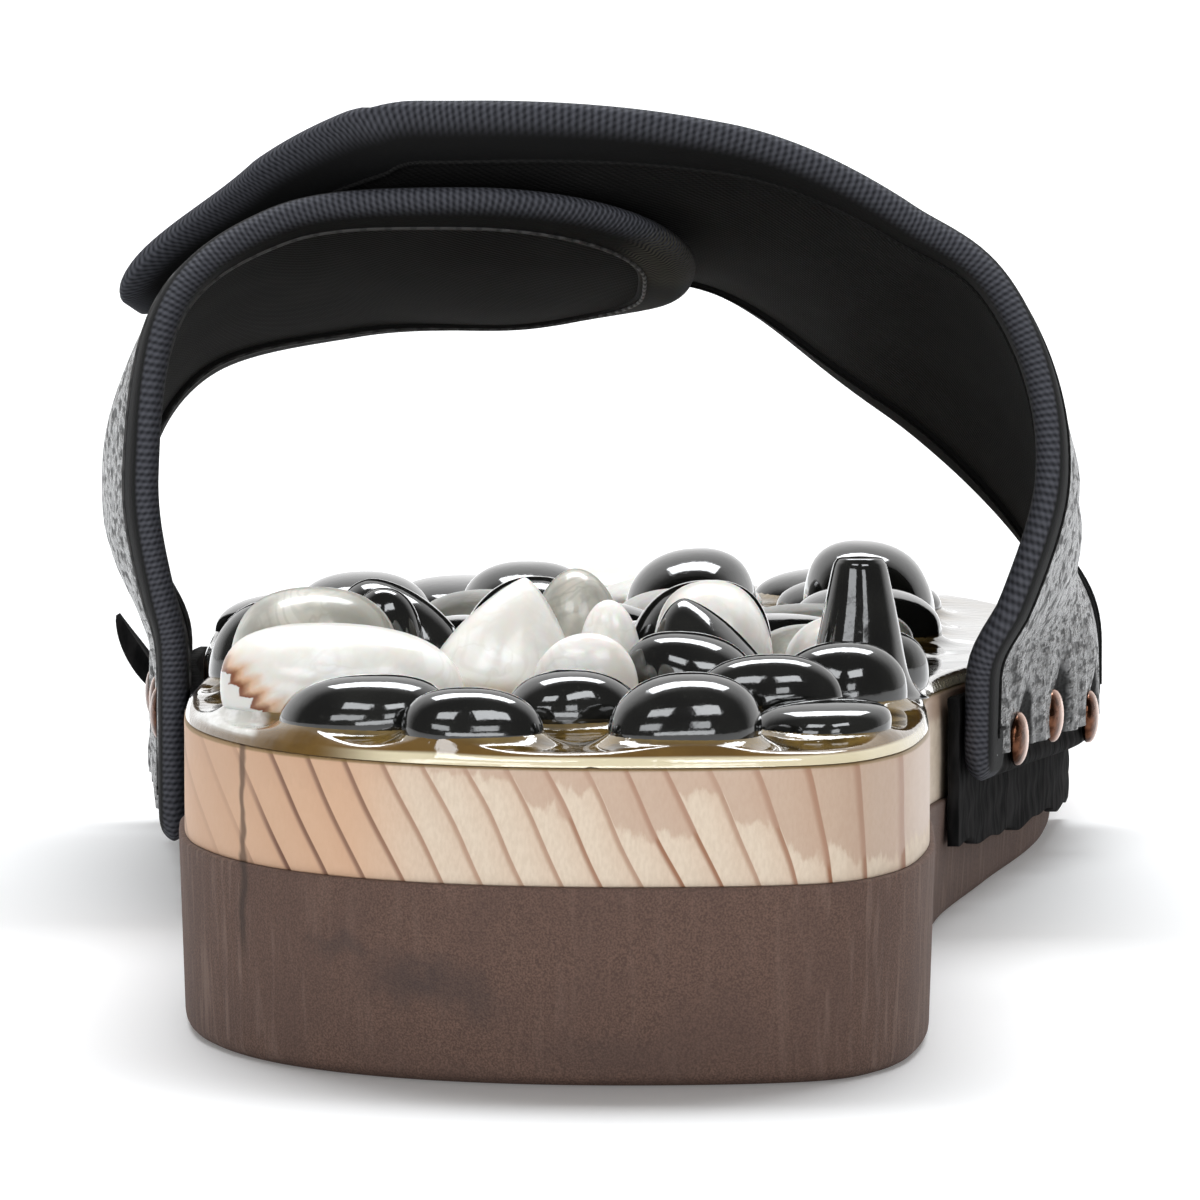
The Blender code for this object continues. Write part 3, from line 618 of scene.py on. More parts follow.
def add_resin(stones, materials):
    """Surface of the pool: rolled down at its rim and drawn up round every pebble."""
    loop = sole_loop(-FOAM_PROUD - RESIN_INSET, RESIN_STATIONS)
    count = 2 * RESIN_STATIONS
    stations = np.arange(1, RESIN_STATIONS)
    lateral = loop[stations]
    medial = loop[count - stations]
    part = (1.0 - np.cos(np.linspace(0.0, math.pi, RESIN_COLUMNS))) / 2.0
    part = (0.35 * part + 0.65 * np.linspace(0.0, 1.0, RESIN_COLUMNS))[None, :, None]
    plan = lateral[:, None, :] * (1.0 - part) + medial[:, None, :] * part
    climb = np.zeros(plan.shape[:2])
    for stone in stones:
        away_x = (plan[..., 0] - stone.x) / stone.half_width
        away_y = (plan[..., 1] - stone.y) / stone.half_depth
        edge = 0.95 * stone_outline(stone, np.arctan2(away_y, away_x))
        mean = (stone.half_width + stone.half_depth) / 2.0
        gap = np.maximum(np.hypot(away_x, away_y) - edge, 0.0) * mean
        rise = MENISCUS * min(1.0, stone.height / MENISCUS_STONE)
        climb = climb + (rise * np.exp(-gap / MENISCUS_REACH)) ** 3
    climb = climb ** (1.0 / 3.0)
    rim = rim_distance(plan.reshape(-1, 2), loop).reshape(plan.shape[:2])
    roll = np.clip(rim / RESIN_ROLL, 0.0, 1.0)
    thick = RESIN_THICK * np.sqrt(1.0 - (1.0 - roll) ** 2) + climb * smoothstep(0.0, 1.0, roll)
    swell = ripple(plan[..., 0] / 5.1, plan[..., 1] / 6.3, (plan[..., 0] + plan[..., 1]) / 9.0)
    z = board_top(plan[..., 1]) + thick + RESIN_SWELL * swell * roll
    points = np.column_stack([plan.reshape(-1, 2), z.ravel()])
    faces = grid_faces(plan.shape[0], plan.shape[1])
    uv = np.column_stack([rim.ravel(), climb.ravel()])
    return add_piece("resin_pool", points, faces, [materials["resin"]], ["resin_bed"], uv)


def rim_distance(points, loop):
    """Distance of points from a closed outline."""
    nearest = np.full(len(points), np.inf)
    ahead = np.roll(loop, -1, axis=0)
    for start, end in zip(loop, ahead):
        edge = end - start
        along = np.clip((points - start) @ edge / (edge @ edge), 0.0, 1.0)
        offset = points - start - along[:, None] * edge
        nearest = np.minimum(nearest, np.einsum("ij,ij->i", offset, offset))
    return np.sqrt(nearest)


# Strap pieces

Crease = namedtuple("Crease", "half girth across angle length width depth")
CREASES = (
    Crease("medial", 22.0, 16.0, 75.0, 20.0, 2.4, 0.5),
    Crease("medial", 30.0, 34.0, 60.0, 24.0, 2.8, 0.45),
    Crease("medial", 44.0, 20.0, 85.0, 34.0, 3.2, 0.5),
    Crease("medial", 52.0, 52.0, 110.0, 26.0, 2.6, 0.4),
    Crease("medial", 66.0, 30.0, 95.0, 40.0, 3.6, 0.35),
    Crease("lateral", 168.0, 14.0, 70.0, 18.0, 2.2, 0.5),
    Crease("lateral", 160.0, 40.0, 100.0, 28.0, 2.6, 0.45),
    Crease("lateral", 150.0, 24.0, 85.0, 30.0, 3.0, 0.5),
    Crease("lateral", 142.0, 56.0, 75.0, 22.0, 2.6, 0.4),
)
PUFF = 0.45  # the padded leather stands up between the bindings
PUFF_WIDTH = 6.0
LINING_SAG = 0.25
LINING_CRUMPLE = 0.12
NAIL_DIMPLE = 1.0
NAIL_DIMPLE_RADIUS = 3.6
NAIL_SWELL = 0.5
FOLD_PAST = 4.6  # a fold in the leather ahead of each nail
FOLD_WIDTH = 2.0
FOLD_DEPTH = 1.4
FOLD_REACH = 8.0
PUCKER = 0.4
PUCKER_PITCH = 6.5
PUCKER_LOW = 5.0
PUCKER_HEIGHT = 20.0


def nail_frame(side, nail):
    """Point on the strap's outer face and the outward direction there, in plan."""
    y = nail.y
    rise = nail.medial_rise if side == MEDIAL else nail.lateral_rise
    slope = (plan_x(side, y + 1.0) - plan_x(side, y - 1.0)) / 2.0
    outward = unit(np.array([side, -side * slope, 0.0]))
    reach = side * (2.0 * GAP + STRIP_THICK + BINDING_THICK)
    return np.array([plan_x(side, y) + reach, y, foam_top(y) + rise]), outward


def crease_relief(half, girth, across_mm):
    """Soft troughs with a low ridge along each side."""
    relief = 0.0 * girth
    for crease in CREASES:
        if crease.half != half:
            continue
        turn = math.radians(crease.angle)
        off_girth = girth - crease.girth
        off_across = across_mm - crease.across
        along = off_girth * math.cos(turn) + off_across * math.sin(turn)
        aside = off_across * math.cos(turn) - off_girth * math.sin(turn)
        aside = aside + 0.8 * np.sin(along / 5.0)
        fade = np.exp(-(2.0 * along / crease.length) ** 2)
        trough = np.exp(-(aside / crease.width) ** 2)
        ridge = 0.45 * np.exp(-((np.abs(aside) - 2.2 * crease.width) / crease.width) ** 2)
        relief = relief + crease.depth * fade * (ridge - trough)
    return relief


def padding(from_edge):
    """0 at the binding and 1 well inside it."""
    return 1.0 - np.exp(-np.maximum(from_edge - BINDING_WIDTH, 0.0) / PUFF_WIDTH)


def leather_relief(half, girth, across, points, from_edge):
    """Height added to the leather: padding, creases, puckers at the nails and the nails' dimples."""
    side = MEDIAL if half == "medial" else LATERAL
    relief = PUFF * padding(from_edge) + crease_relief(half, girth, across * FLAT_WIDTH)
    above_foam = points[..., 2] - foam_top(points[..., 1])
    low = 1.0 - smoothstep(PUCKER_LOW, PUCKER_HEIGHT, above_foam)
    gather = ripple(points[..., 1] * 2.0 * math.pi / PUCKER_PITCH + 0.12 * above_foam, points[..., 1] / 2.3)
    relief = relief + PUCKER * low * gather
    for nail in NAIL_PLACES:
        start = nail_frame(side, nail)[0]
        away = np.linalg.norm(points - start, axis=-1)
        dimple = NAIL_DIMPLE * np.exp(-(away / NAIL_DIMPLE_RADIUS) ** 2)
        swell = NAIL_SWELL * np.exp(-((away - 2.0 * NAIL_DIMPLE_RADIUS) / NAIL_DIMPLE_RADIUS) ** 2)
        past = (points[..., 1] - nail.y - FOLD_PAST) / FOLD_WIDTH
        fold = FOLD_DEPTH * np.exp(-past ** 2 - (away / FOLD_REACH) ** 2)
        relief = relief + swell - dimple - fold
    return relief


def add_strap_wall(half, base, tip, edges, rise, materials):
    """Padded wall of one half, leather outside and lining inside; its edges end inside the binding."""
    direction = 1.0 if tip > base else -1.0
    count = int(abs(tip - base) / WALL_PITCH)
    girths = np.linspace(base + direction * WALL_INSET, tip - direction * WALL_INSET, count)
    rear, front = (np.array([edges(girth)[k] for girth in girths]) for k in (0, 1))
    inset = WALL_INSET / strap_width(girths)
    part = np.linspace(0.0, 1.0, WALL_COLUMNS)[None, :]
    across = (rear + inset)[:, None] * (1.0 - part) + (front - inset)[:, None] * part
    girth = np.repeat(girths[:, None], WALL_COLUMNS, axis=1)
    width = strap_width(girth)
    from_side = np.minimum(across - rear[:, None], front[:, None] - across) * width
    from_edge = np.minimum(from_side, np.abs(tip - girth))
    face = strap_face(girth, across)
    normal = strap_normal(girth, across)
    lift = rise(girth, across)
    sag = LINING_SAG * padding(from_edge)
    crumple = LINING_CRUMPLE * ripple(girth / 4.1 + across * 6.0, across * FLAT_WIDTH / 5.2, girth / 9.0)
    inside = face + (lift + BINDING_STEP - sag + crumple)[..., None] * normal
    high = lift + BINDING_THICK - BINDING_STEP
    relief = leather_relief(half, girth, across, face + high[..., None] * normal, from_edge)
    outside = face + (high + relief)[..., None] * normal
    points, faces = shell_mesh(inside, outside)
    flat = np.column_stack([girth.ravel(), (across * width).ravel()])
    uv = np.vstack([flat, flat])
    cells = (count - 1) * (WALL_COLUMNS - 1)
    kinds = [0] * cells + [1] * cells + [0] * (len(faces) - 2 * cells)
    finishes = [materials["lining"], materials["leather"]]
    return add_piece(f"strap_{half}", points, faces, finishes, ["upper"], uv, kinds)


# Edge binding

TapePoint = namedtuple("TapePoint", "inward height")
TAPE_MIDDLE = TapePoint(-EDGE_ROUND, BINDING_THICK / 2.0)
TAPE_INNER = (
    TapePoint(5.75, 0.5),
    TapePoint(5.6, 0.15),
    TapePoint(5.3, 0.0),
    TapePoint(4.0, -0.08),
    TapePoint(2.6, -0.05),
    TapePoint(1.3, 0.05),
    TapePoint(0.3, 0.35),
    TapePoint(-0.45, 0.95),
)
TAPE_OUTER = tuple(TapePoint(point.inward, BINDING_THICK - point.height) for point in TAPE_INNER[::-1])
TAPE_PROFILE = (*TAPE_INNER, TAPE_MIDDLE, *TAPE_OUTER)
TAPE_SMOOTH = 3  # points of the swept tape for each point of its profile
THREAD_RADIUS = 0.24
THREAD_INWARD = 4.9
THREAD_SEGMENTS = 6
BASE_RUN = 4.0
BASE_CORNER = 6.0
BASE_DROP = 0.9  # the tape lies under the leather along the base


def rounded_path(corners):
    """Closed path through corners laid out flat, rounded and even, as (along the girth, across) in mm."""
    corners = np.array(corners)
    points = []
    for before, here, after in zip(np.roll(corners, 1, axis=0), corners, np.roll(corners, -1, axis=0)):
        ends = []
        for neighbour in (before, after):
            length = np.linalg.norm(neighbour - here)
            ends.append(here + (neighbour - here) * min(CORNER_ROUND, 0.45 * length) / length)
        for part in np.linspace(0.0, 1.0, CORNER_STEPS):
            bend = (1.0 - part) ** 2 * ends[0] + 2.0 * part * (1.0 - part) * here + part ** 2 * ends[1]
            points.append(bend)
    points.append(points[0])
    points = np.array(points)
    run = np.concatenate([[0.0], np.cumsum(np.linalg.norm(np.diff(points, axis=0), axis=1))])
    even = np.linspace(0.0, run[-1], int(run[-1] / EDGE_PITCH))
    path = np.column_stack([np.interp(even, run, points[:, k]) for k in (0, 1)])
    return path, even


def outer_corners():
    rear = FLAT_WIDTH * OUTER_REAR
    return [
        (0.0, FLAT_WIDTH),
        (0.0, rear),
        (CHAMFER_GIRTH, rear),
        (OUTER_END, FLAT_WIDTH * CHAMFER_REAR),
        (OUTER_END, FLAT_WIDTH * (1.0 - CHAMFER_FRONT)),
        (CHAMFER_GIRTH, FLAT_WIDTH),
    ]


def inner_corners():
    turns = np.linspace(0.0, math.pi / 2.0, TONGUE_STEPS)
    girth = INNER_END + TONGUE_LENGTH * (1.0 - np.sin(turns))
    rear = [(g, FLAT_WIDTH * TONGUE_REAR * (1.0 - math.cos(t))) for g, t in zip(girth, turns)]
    front = [(g, FLAT_WIDTH * (1.0 - TONGUE_FRONT * (1.0 - math.cos(t)))) for g, t in zip(girth, turns)]
    return [(GIRTH_END, FLAT_WIDTH), (GIRTH_END, 0.0), *rear, *front[::-1]]


def at_base(path):
    """1 along the strap's two lower ends, past their rear corner, and 0 elsewhere."""
    low = (path[:, 0] < BASE_RUN) | (path[:, 0] > GIRTH_END - BASE_RUN)
    return (low & (path[:, 1] > BASE_CORNER)).astype(int)


def base_drop(path, profile):
    """How far the outer face of the tape is let down along the base."""
    from_base = np.minimum(path[:, 0], GIRTH_END - path[:, 0])
    near = 1.0 - smoothstep(0.4, 3.0, from_base)
    near = near * smoothstep(BASE_CORNER - 2.0, BASE_CORNER + 4.0, path[:, 1])
    outer = (profile[:, 1] > BINDING_THICK / 2.0) * np.clip((profile[:, 0] + 0.45) / 1.75, 0.0, 1.0)
    return BASE_DROP * near[:, None] * outer[None, :]


def sweep_edge(name, corners, rise, profile, closed_profile, materials):
    """Strip swept round a half's edge; its profile is inward from the edge and up from the inner face."""
    path, run = rounded_path(corners)
    along = unit(np.roll(path, -2, axis=0) - np.roll(path, 2, axis=0))
    winding = np.sum(path[:-1, 0] * path[1:, 1] - path[1:, 0] * path[:-1, 1])
    inward = np.column_stack([-along[:, 1], along[:, 0]]) * np.sign(winding)
    inward[[0, 1, -2, -1]] = inward[2]
    profile = np.asarray(profile, float)
    width = strap_width(path[:, 0])[:, None]
    girth = path[:, :1] + inward[:, :1] * profile[None, :, 0]
    across = path[:, 1:] / FLAT_WIDTH + inward[:, 1:] * profile[None, :, 0] / width
    height = rise(girth, across) + profile[None, :, 1] - base_drop(path, profile)
    points = strap_face(girth, across) + height[..., None] * strap_normal(girth, across)
    steps = np.linalg.norm(np.diff(profile, axis=0), axis=1)
    turn = np.concatenate([[0.0], np.cumsum(steps)])
    uv = np.stack(np.broadcast_arrays(run[:, None], turn[None, :]), axis=-1).reshape(-1, 2)
    faces = grid_faces(len(path), len(profile), around=closed_profile)
    kinds = np.repeat(at_base(path)[:-1], len(faces) // (len(path) - 1))
    if len(materials) == 1:
        faces = [face for face, kind in zip(faces, kinds) if kind == 0]
        kinds = np.zeros(len(faces))
    return add_piece(name, points.reshape(-1, 3), faces, materials, ["upper"], uv, kinds)


def add_strap(materials):
    """Both halves with their walls, bindings and seams, and the closure between them."""
    halves = (
        ("medial", 0.0, OUTER_END, outer_edges, outer_rise, outer_corners()),
        ("lateral", GIRTH_END, INNER_END, inner_edges, flat_rise, inner_corners()),
    )
    knots = np.arange(len(TAPE_PROFILE), dtype=float)
    fine = np.linspace(0.0, knots[-1], TAPE_SMOOTH * len(TAPE_PROFILE))
    tape = curve_through(knots, np.array(TAPE_PROFILE, float), fine)
    turns = even_turn(THREAD_SEGMENTS)
    thread = THREAD_RADIUS * np.column_stack([np.cos(turns), np.sin(turns)])
    for half, base, tip, edges, rise, corners in halves:
        add_strap_wall(half, base, tip, edges, rise, materials)
        sweep_edge(f"binding_{half}", corners, rise, tape, False, [materials["binding"], materials["strip"]])
        for place, height in (("inside", -0.1), ("outside", BINDING_THICK + 0.08)):
            seam = thread + np.array([THREAD_INWARD, height])
            stitch = materials["thread" if half == "lateral" else "lining"]
            sweep_edge(f"seam_{half}_{place}", corners, rise, seam, True, [stitch])
    add_closure(materials)


def add_closure(materials):
    """Hook-and-loop pad between the halves, with a fuzzy edge."""
    girths = np.linspace(INNER_END + PAD_INSET, OUTER_END - PAD_INSET, PAD_ROWS)
    across = np.linspace(PAD_REAR, PAD_FRONT, PAD_ROWS)
    girth, across = np.meshgrid(girths, across, indexing="ij")
    fuzz = PAD_FUZZ * ripple(girth * 5.1, across * 190.0, girth * 2.7 + across * 90.0)
    edge = np.minimum(np.minimum(girth - girths[0], girths[-1] - girth), 1.0)
    girth = girth + fuzz * (1.0 - edge)
    normal = strap_normal(girth, across)
    face = strap_face(girth, across)
    low = BINDING_THICK - BINDING_STEP - PAD_BITE
    high = LAYER_RISE + BINDING_STEP + PAD_BITE
    points, faces = shell_mesh(face + low * normal, face + high * normal)
    return add_piece("hook_and_loop", points, faces, [materials["fuzz"]], ["upper"])


# Strip and nail pieces

STRIP_CUT = 0.8  # the lower edge is cut by hand
STRIP_STATIONS = 130
STRIP_ROWS = 36


def add_strip(side, materials):
    """Thin crumpled strip along the sole's side, under the strap's base."""
    stations = np.linspace(STRIP_REAR, STRIP_FRONT, STRIP_STATIONS)
    y, level = np.meshgrid(stations, np.linspace(0.0, 1.0, STRIP_ROWS), indexing="ij")
    cut = STRIP_CUT * ripple(y / 3.7 + side, y / 1.9, y / 8.3)
    bottom = foam_top(y) - STRIP_LAP + cut
    z = bottom + level * (board_top(y) - STRIP_DROP - bottom)
    near = plan_x(side, y) + side * GAP
    fold = ripple(z / 1.1 + y / 3.0, z / 0.63 - y / 4.0, y / 1.9)
    free = smoothstep(0.0, 5.0, y - STRIP_REAR) * 0.6 + 0.4
    rear_edge = y + 0.5 * (1.0 - smoothstep(0.0, 3.0, y - STRIP_REAR)) * ripple(z / 1.4, z / 2.3)
    inside = np.stack([near + side * 0.08 * fold, rear_edge, z], axis=-1)
    outside = np.stack([near + side * (STRIP_THICK + 0.2 * fold * free), rear_edge, z], axis=-1)
    points, faces = shell_mesh(inside, outside)
    name = SIDE_NAMES[side]
    return add_piece(f"skirt_{name}", points, faces, [materials["strip"]], [f"base_strip_{name}"])


CORNER_LINE = ((-53.6, 196.0, 15.0), (-55.8, 196.5, 19.0), (-59.2, 197.0, 23.8))  # foot, bend and tip
CORNER_WIDTH = 7.0
CORNER_TIP = 0.8
CORNER_THICK = 2.2
CORNER_INWARD = (0.85, 0.0, 0.5)
CORNER_ROWS = 24
CORNER_COLUMNS = 12


def add_loose_corner(materials):
    """Small stiff corner of the strip that stands off at the strap's lateral front."""
    foot, bend, tip = (np.array(point) for point in CORNER_LINE)
    rows = np.linspace(0.0, 1.0, CORNER_ROWS)
    part, aside = np.meshgrid(rows, np.linspace(-0.5, 0.5, CORNER_COLUMNS), indexing="ij")
    curve = (1.0 - part)[..., None] ** 2 * foot + (2.0 * part * (1.0 - part))[..., None] * bend
    curve = curve + part[..., None] ** 2 * tip
    width = CORNER_WIDTH + (CORNER_TIP - CORNER_WIDTH) * part ** 1.3
    curve[..., 1] += width * aside
    curve[..., 0] += 0.15 * ripple(curve[..., 2] / 1.3, curve[..., 1] / 0.9)
    thick = CORNER_THICK * (0.25 + np.sin(math.pi * part) ** 0.8) / 1.25
    points, faces = shell_mesh(curve, curve - thick[..., None] * np.array(CORNER_INWARD))
    return add_piece("loose_corner", points, faces, [materials["strip"]], ["base_strip_lateral"])


def add_nail(side, number, nail, materials):
    """Domed copper head that sits in a dimple, on a short shank."""
    start, axis = nail_frame(side, nail)
    rings = [(NAIL_SHANK_RADIUS, -NAIL_SHANK), (NAIL_SHANK_RADIUS, -NAIL_UNDER)]
    rings += [(0.9 * NAIL_HEAD_RADIUS, -NAIL_UNDER), (NAIL_HEAD_RADIUS, -NAIL_UNDER / 2.0)]
    for turn in np.linspace(0.0, math.pi / 2.0, NAIL_RINGS + 1)[:-1]:
        rings.append((NAIL_HEAD_RADIUS * math.cos(turn), NAIL_HEAD_HEIGHT * math.sin(turn)))
    angle = even_turn(NAIL_SEGMENTS)[:, None]
    sideways = np.array([-axis[1], axis[0], 0.0])
    upward = np.array([0.0, 0.0, 1.0])
    around = np.cos(angle) * sideways + np.sin(angle) * upward
    rows = [start + radius * around + height * axis for radius, height in rings]
    points = np.vstack(rows + [start + NAIL_HEAD_HEIGHT * axis])
    faces = turned_faces(len(rings), NAIL_SEGMENTS)
    ahead = (points[:, 1] - start[1]) / NAIL_HEAD_RADIUS
    uv = np.column_stack([ahead, 0.0 * ahead])
    node = f"nail_{SIDE_NAMES[side]}_{number}"
    return add_piece(f"head_{node}", points, faces, [materials["copper"]], [node], uv)


# Materials


class Value:
    """Number, vector or colour that varies over a surface, for use in formulas."""

    def __init__(self, nodes, socket):
        self.nodes = nodes
        self.socket = socket

    def __add__(self, other):
        return self.nodes.math("ADD", self, other)

    def __sub__(self, other):
        return self.nodes.math("SUBTRACT", self, other)

    def __mul__(self, other):
        return self.nodes.math("MULTIPLY", self, other)

    __radd__ = __add__

    def ramp(self, start, end, low=0.0, high=1.0, kind="SMOOTHSTEP"):
        """Run from low at start to high at end, level outside them."""
        inputs = {"Value": self, "From Min": start, "From Max": end, "To Min": low, "To Max": high}
        return self.nodes.node("MapRange", inputs, interpolation_type=kind)

    def wave(self, pitch):
        """Sine between 0 and 1 that repeats every pitch."""
        return self.nodes.math("SINE", self * (2.0 * math.pi / pitch)) * 0.5 + 0.5

    def spot(self, middle, reach):
        """1 at a middle point and 0 from one reach away, for a blot with its own reach on each axis."""
        away = self.nodes.vector("SUBTRACT", self, middle)
        scaled = self.nodes.vector("MULTIPLY", away, tuple(1.0 / part for part in reach))
        return self.nodes.vector("LENGTH", scaled, output="Value").ramp(1.0, 0.0)


class Nodes:
    """Maker of shader nodes."""

    def __init__(self, tree):
        self.tree = tree

    def feed(self, socket, value):
        if isinstance(value, Value):
            self.tree.links.new(value.socket, socket)
        elif socket.type == "RGBA":
            socket.default_value = (*value, 1.0)
        else:
            socket.default_value = value

    def node(self, kind, inputs, output=0, **settings):
        """Output of a new node; its inputs go by the name or number of their sockets."""
        made = self.tree.nodes.new(f"ShaderNode{kind}")
        for name, value in settings.items():
            setattr(made, name, value)
        for socket, value in inputs.items():
            self.feed(made.inputs[socket], value)
        return Value(self, made.outputs[output])

    def math(self, operation, *values):
        return self.node("Math", dict(enumerate(values)), operation=operation)

    def vector(self, operation, *values, output=0):
        return self.node("VectorMath", dict(enumerate(values)), output, operation=operation)

    def axes(self, vector):
        parts = self.node("SeparateXYZ", {0: vector}).socket.node.outputs
        return [Value(self, part) for part in parts]

    def mix(self, factor, first, second):
        return self.node("Mix", {0: factor, 6: first, 7: second}, 2, data_type="RGBA")


class Recipe(Nodes):
    """Procedural material; place is the point in millimetres of the last's frame."""

    def __init__(self, name, colour, roughness, **constants):
        self.material = bpy.data.materials.new(name)
        self.material.use_nodes = True
        self.material.diffuse_color = (*colour, 1.0)
        super().__init__(self.material.node_tree)
        self.sockets = self.tree.nodes["Principled BSDF"].inputs
        self.paint(colour)
        self.gloss(roughness)
        for socket, value in constants.items():
            self.sockets[socket.replace("_", " ").title().replace("Ior", "IOR")].default_value = value
        self.place = self.vector("MULTIPLY", self.node("TexCoord", {}, "Object"), (1.0 / MM,) * 3)
        self.relief = None

    def flat(self):
        """Along and across in millimetres, from the piece's own layout."""
        return self.axes(self.node("UVMap", {}, "UV", uv_map="flat"))[:2]

    def stretch(self, *factors):
        """The place with its axes scaled."""
        return self.vector("MULTIPLY", self.place, factors)

    def noise(self, scale, detail=2.0, at=None):
        inputs = {"Vector": self.place if at is None else at, "Scale": scale, "Detail": detail}
        return self.node("TexNoise", inputs, "Fac")

    def bump(self, height, depth):
        """Add a relief, depth in millimetres, on top of what was added before."""
        inputs = {"Distance": depth * MM, "Height": height}
        if self.relief is not None:
            inputs["Normal"] = self.relief
        self.relief = self.node("Bump", inputs, "Normal")
        self.feed(self.sockets["Normal"], self.relief)

    def paint(self, colour):
        self.tone = colour
        self.feed(self.sockets["Base Color"], colour)

    def cover(self, mask, colour):
        """Paint over what was painted before, where the mask is 1."""
        self.paint(self.mix(mask, self.tone, colour))

    def gloss(self, roughness):
        self.feed(self.sockets["Roughness"], roughness)


DRIP_X = -30.5


def drip_mask(recipe):
    """Thin dark run of resin down the heel's lateral corner."""
    x, y, z = recipe.axes(recipe.place)
    waver = recipe.noise(0.22, 2.0) * 1.6 - 0.8
    aside = recipe.math("ABSOLUTE", x - DRIP_X + waver)
    line = aside.ramp(0.5, 0.12)
    at_heel = y.ramp(34.0, 26.0)
    return line * at_heel * z.ramp(9.0, 14.0)


Blot = namedtuple("Blot", "middle reach strength")
FOAM_BLOTS = (
    Blot((-9.5, 3.0, 13.0), (8.0, 14.0, 3.6), 0.75),
    Blot((-18.0, 6.0, 15.6), (6.0, 14.0, 1.8), 0.55),
    Blot((-4.0, 3.0, 11.0), (4.0, 14.0, 4.0), 0.45),
    Blot((9.0, 3.0, 6.0), (12.0, 14.0, 3.0), 0.25),
)


def foam_material():
    """Sanded brown foam with light streaks, made stronger at the heel's corners as a painted highlight, and
    dark smudges at its back.
    """
    recipe = Recipe("sanded_foam", (0.112, 0.069, 0.056), 0.85)
    x = recipe.axes(recipe.place)[0]
    grain = recipe.noise(5.0, 3.0)
    mottle = recipe.noise(0.12, 3.0)
    streak = recipe.noise(1.0, 3.0, recipe.stretch(0.9, 0.9, 0.09))
    # Mask for a painted highlight: the streaks grow stronger towards the heel's rounded corners.
    corner = recipe.math("ABSOLUTE", x - 1.0).ramp(20.0, 33.0, 0.25, 1.0)
    recipe.paint(recipe.mix(grain.ramp(0.34, 0.68), (0.071, 0.0385, 0.028), (0.138, 0.0785, 0.0565)))
    recipe.cover(mottle.ramp(0.35, 0.7, 0.0, 0.35), (0.075, 0.043, 0.034))
    # Light streaks: the foam's own sanding streaks, raised at the corners into a painted highlight.
    light = streak.ramp(0.5, 0.72) * corner * 0.45
    recipe.cover(light, (0.21, 0.14, 0.11))
    wander = recipe.node("TexNoise", {"Vector": recipe.place, "Scale": 0.35}, "Color")
    ragged = recipe.vector("ADD", recipe.place, recipe.vector("MULTIPLY", wander, (5.0, 5.0, 5.0)))
    for middle, reach, strength in FOAM_BLOTS:
        blot = ragged.spot(middle, reach) * strength
        recipe.cover(blot, (0.045, 0.03, 0.027))
    recipe.cover(drip_mask(recipe) * 0.8, (0.04, 0.024, 0.018))
    recipe.bump(grain, 0.08)
    recipe.bump(streak, 0.12)
    return recipe.material


RING_PITCH = 3.6
RING_TILT = math.radians(27.0)
BOARD_MIDDLE = 26.0  # height of the board's middle at the heel


def wood_material():
    """Softwood: growth rings lean over on the heel's end grain, resin has soaked in along the top."""
    recipe = Recipe("pine", (0.73, 0.59, 0.44), 0.55)
    x, y, z = recipe.axes(recipe.place)
    slow = recipe.stretch(1.0, 0.12, 1.0)
    warp = recipe.noise(0.05, 1.0, slow) * 2.0 - 1.0
    lean = x.ramp(14.0, 38.0, math.sin(RING_TILT), 0.04)
    height = z - BOARD_MIDDLE
    depth = x * math.cos(RING_TILT) + height * lean + warp
    count = depth * (1.0 / RING_PITCH)
    ring = recipe.math("FRACT", count)
    own = recipe.node("TexWhiteNoise", {"W": recipe.math("FLOOR", count)}, "Value", noise_dimensions="1D")
    line = ring.ramp(0.78, 0.93) * ring.ramp(1.0, 0.97)
    plain = recipe.math("MAXIMUM", x.ramp(-32.0, -26.0, 0.2, 1.0), y.ramp(30.0, 45.0))
    line = line * plain * own.ramp(0.0, 1.0, 0.6, 1.0)
    fade = ring.ramp(0.2, 0.95) * ring.ramp(1.0, 0.97)
    fibre = recipe.noise(1.0, 3.0, recipe.stretch(3.0, 0.25, 1.2))
    cloud = recipe.noise(0.06, 2.0)
    recipe.paint(recipe.mix(fibre.ramp(0.3, 0.7), (0.61, 0.495, 0.38), (0.665, 0.55, 0.43)))
    peach = (x + cloud * 16.0).ramp(0.0, -14.0)
    recipe.cover(peach * 0.8, (0.6, 0.35, 0.21))
    recipe.cover(fade * 0.22, (0.46, 0.24, 0.14))
    recipe.cover(line, recipe.mix(peach, (0.27, 0.115, 0.055), (0.15, 0.062, 0.035)))
    teeth = recipe.noise(0.9, 4.0, recipe.stretch(1.0, 1.0, 0.35))
    ragged = teeth * 4.4 - 1.9
    deeper = x.ramp(-10.0, 20.0, 0.0, 2.5) + x.ramp(22.0, 34.0, 0.0, 4.0)
    deeper = deeper * y.ramp(60.0, 30.0)
    soak_depth = own * 5.2 + ragged + deeper
    soak = (below_top(recipe, y, z) - soak_depth).ramp(0.5, -0.5)
    soak = soak * x.ramp(-18.0, -8.0, 0.15, 1.0)
    recipe.cover(soak * 0.6, (0.41, 0.25, 0.17))
    edge = below_top(recipe, y, z).ramp(0.45, 0.2, 0.0, 0.8)
    recipe.cover(edge, (0.2, 0.125, 0.035))
    recipe.cover(drip_mask(recipe) * 0.85, (0.1, 0.05, 0.025))
    recipe.gloss(soak.ramp(0.0, 1.0, 0.6, 0.36))
    recipe.bump(fibre, 0.04)
    recipe.bump(line, 0.015)
    return recipe.material


def below_top(recipe, y, z):
    """Depth under the board's top, which follows the wedge in straight pieces."""
    top = float(WEDGE_FOAM[0]) + BOARD_THICK
    for start, end, low, high in zip(WEDGE_KNOTS, WEDGE_KNOTS[1:], WEDGE_FOAM, WEDGE_FOAM[1:]):
        top = y.ramp(start, end, 0.0, high - low, "LINEAR") + top
    return top - z


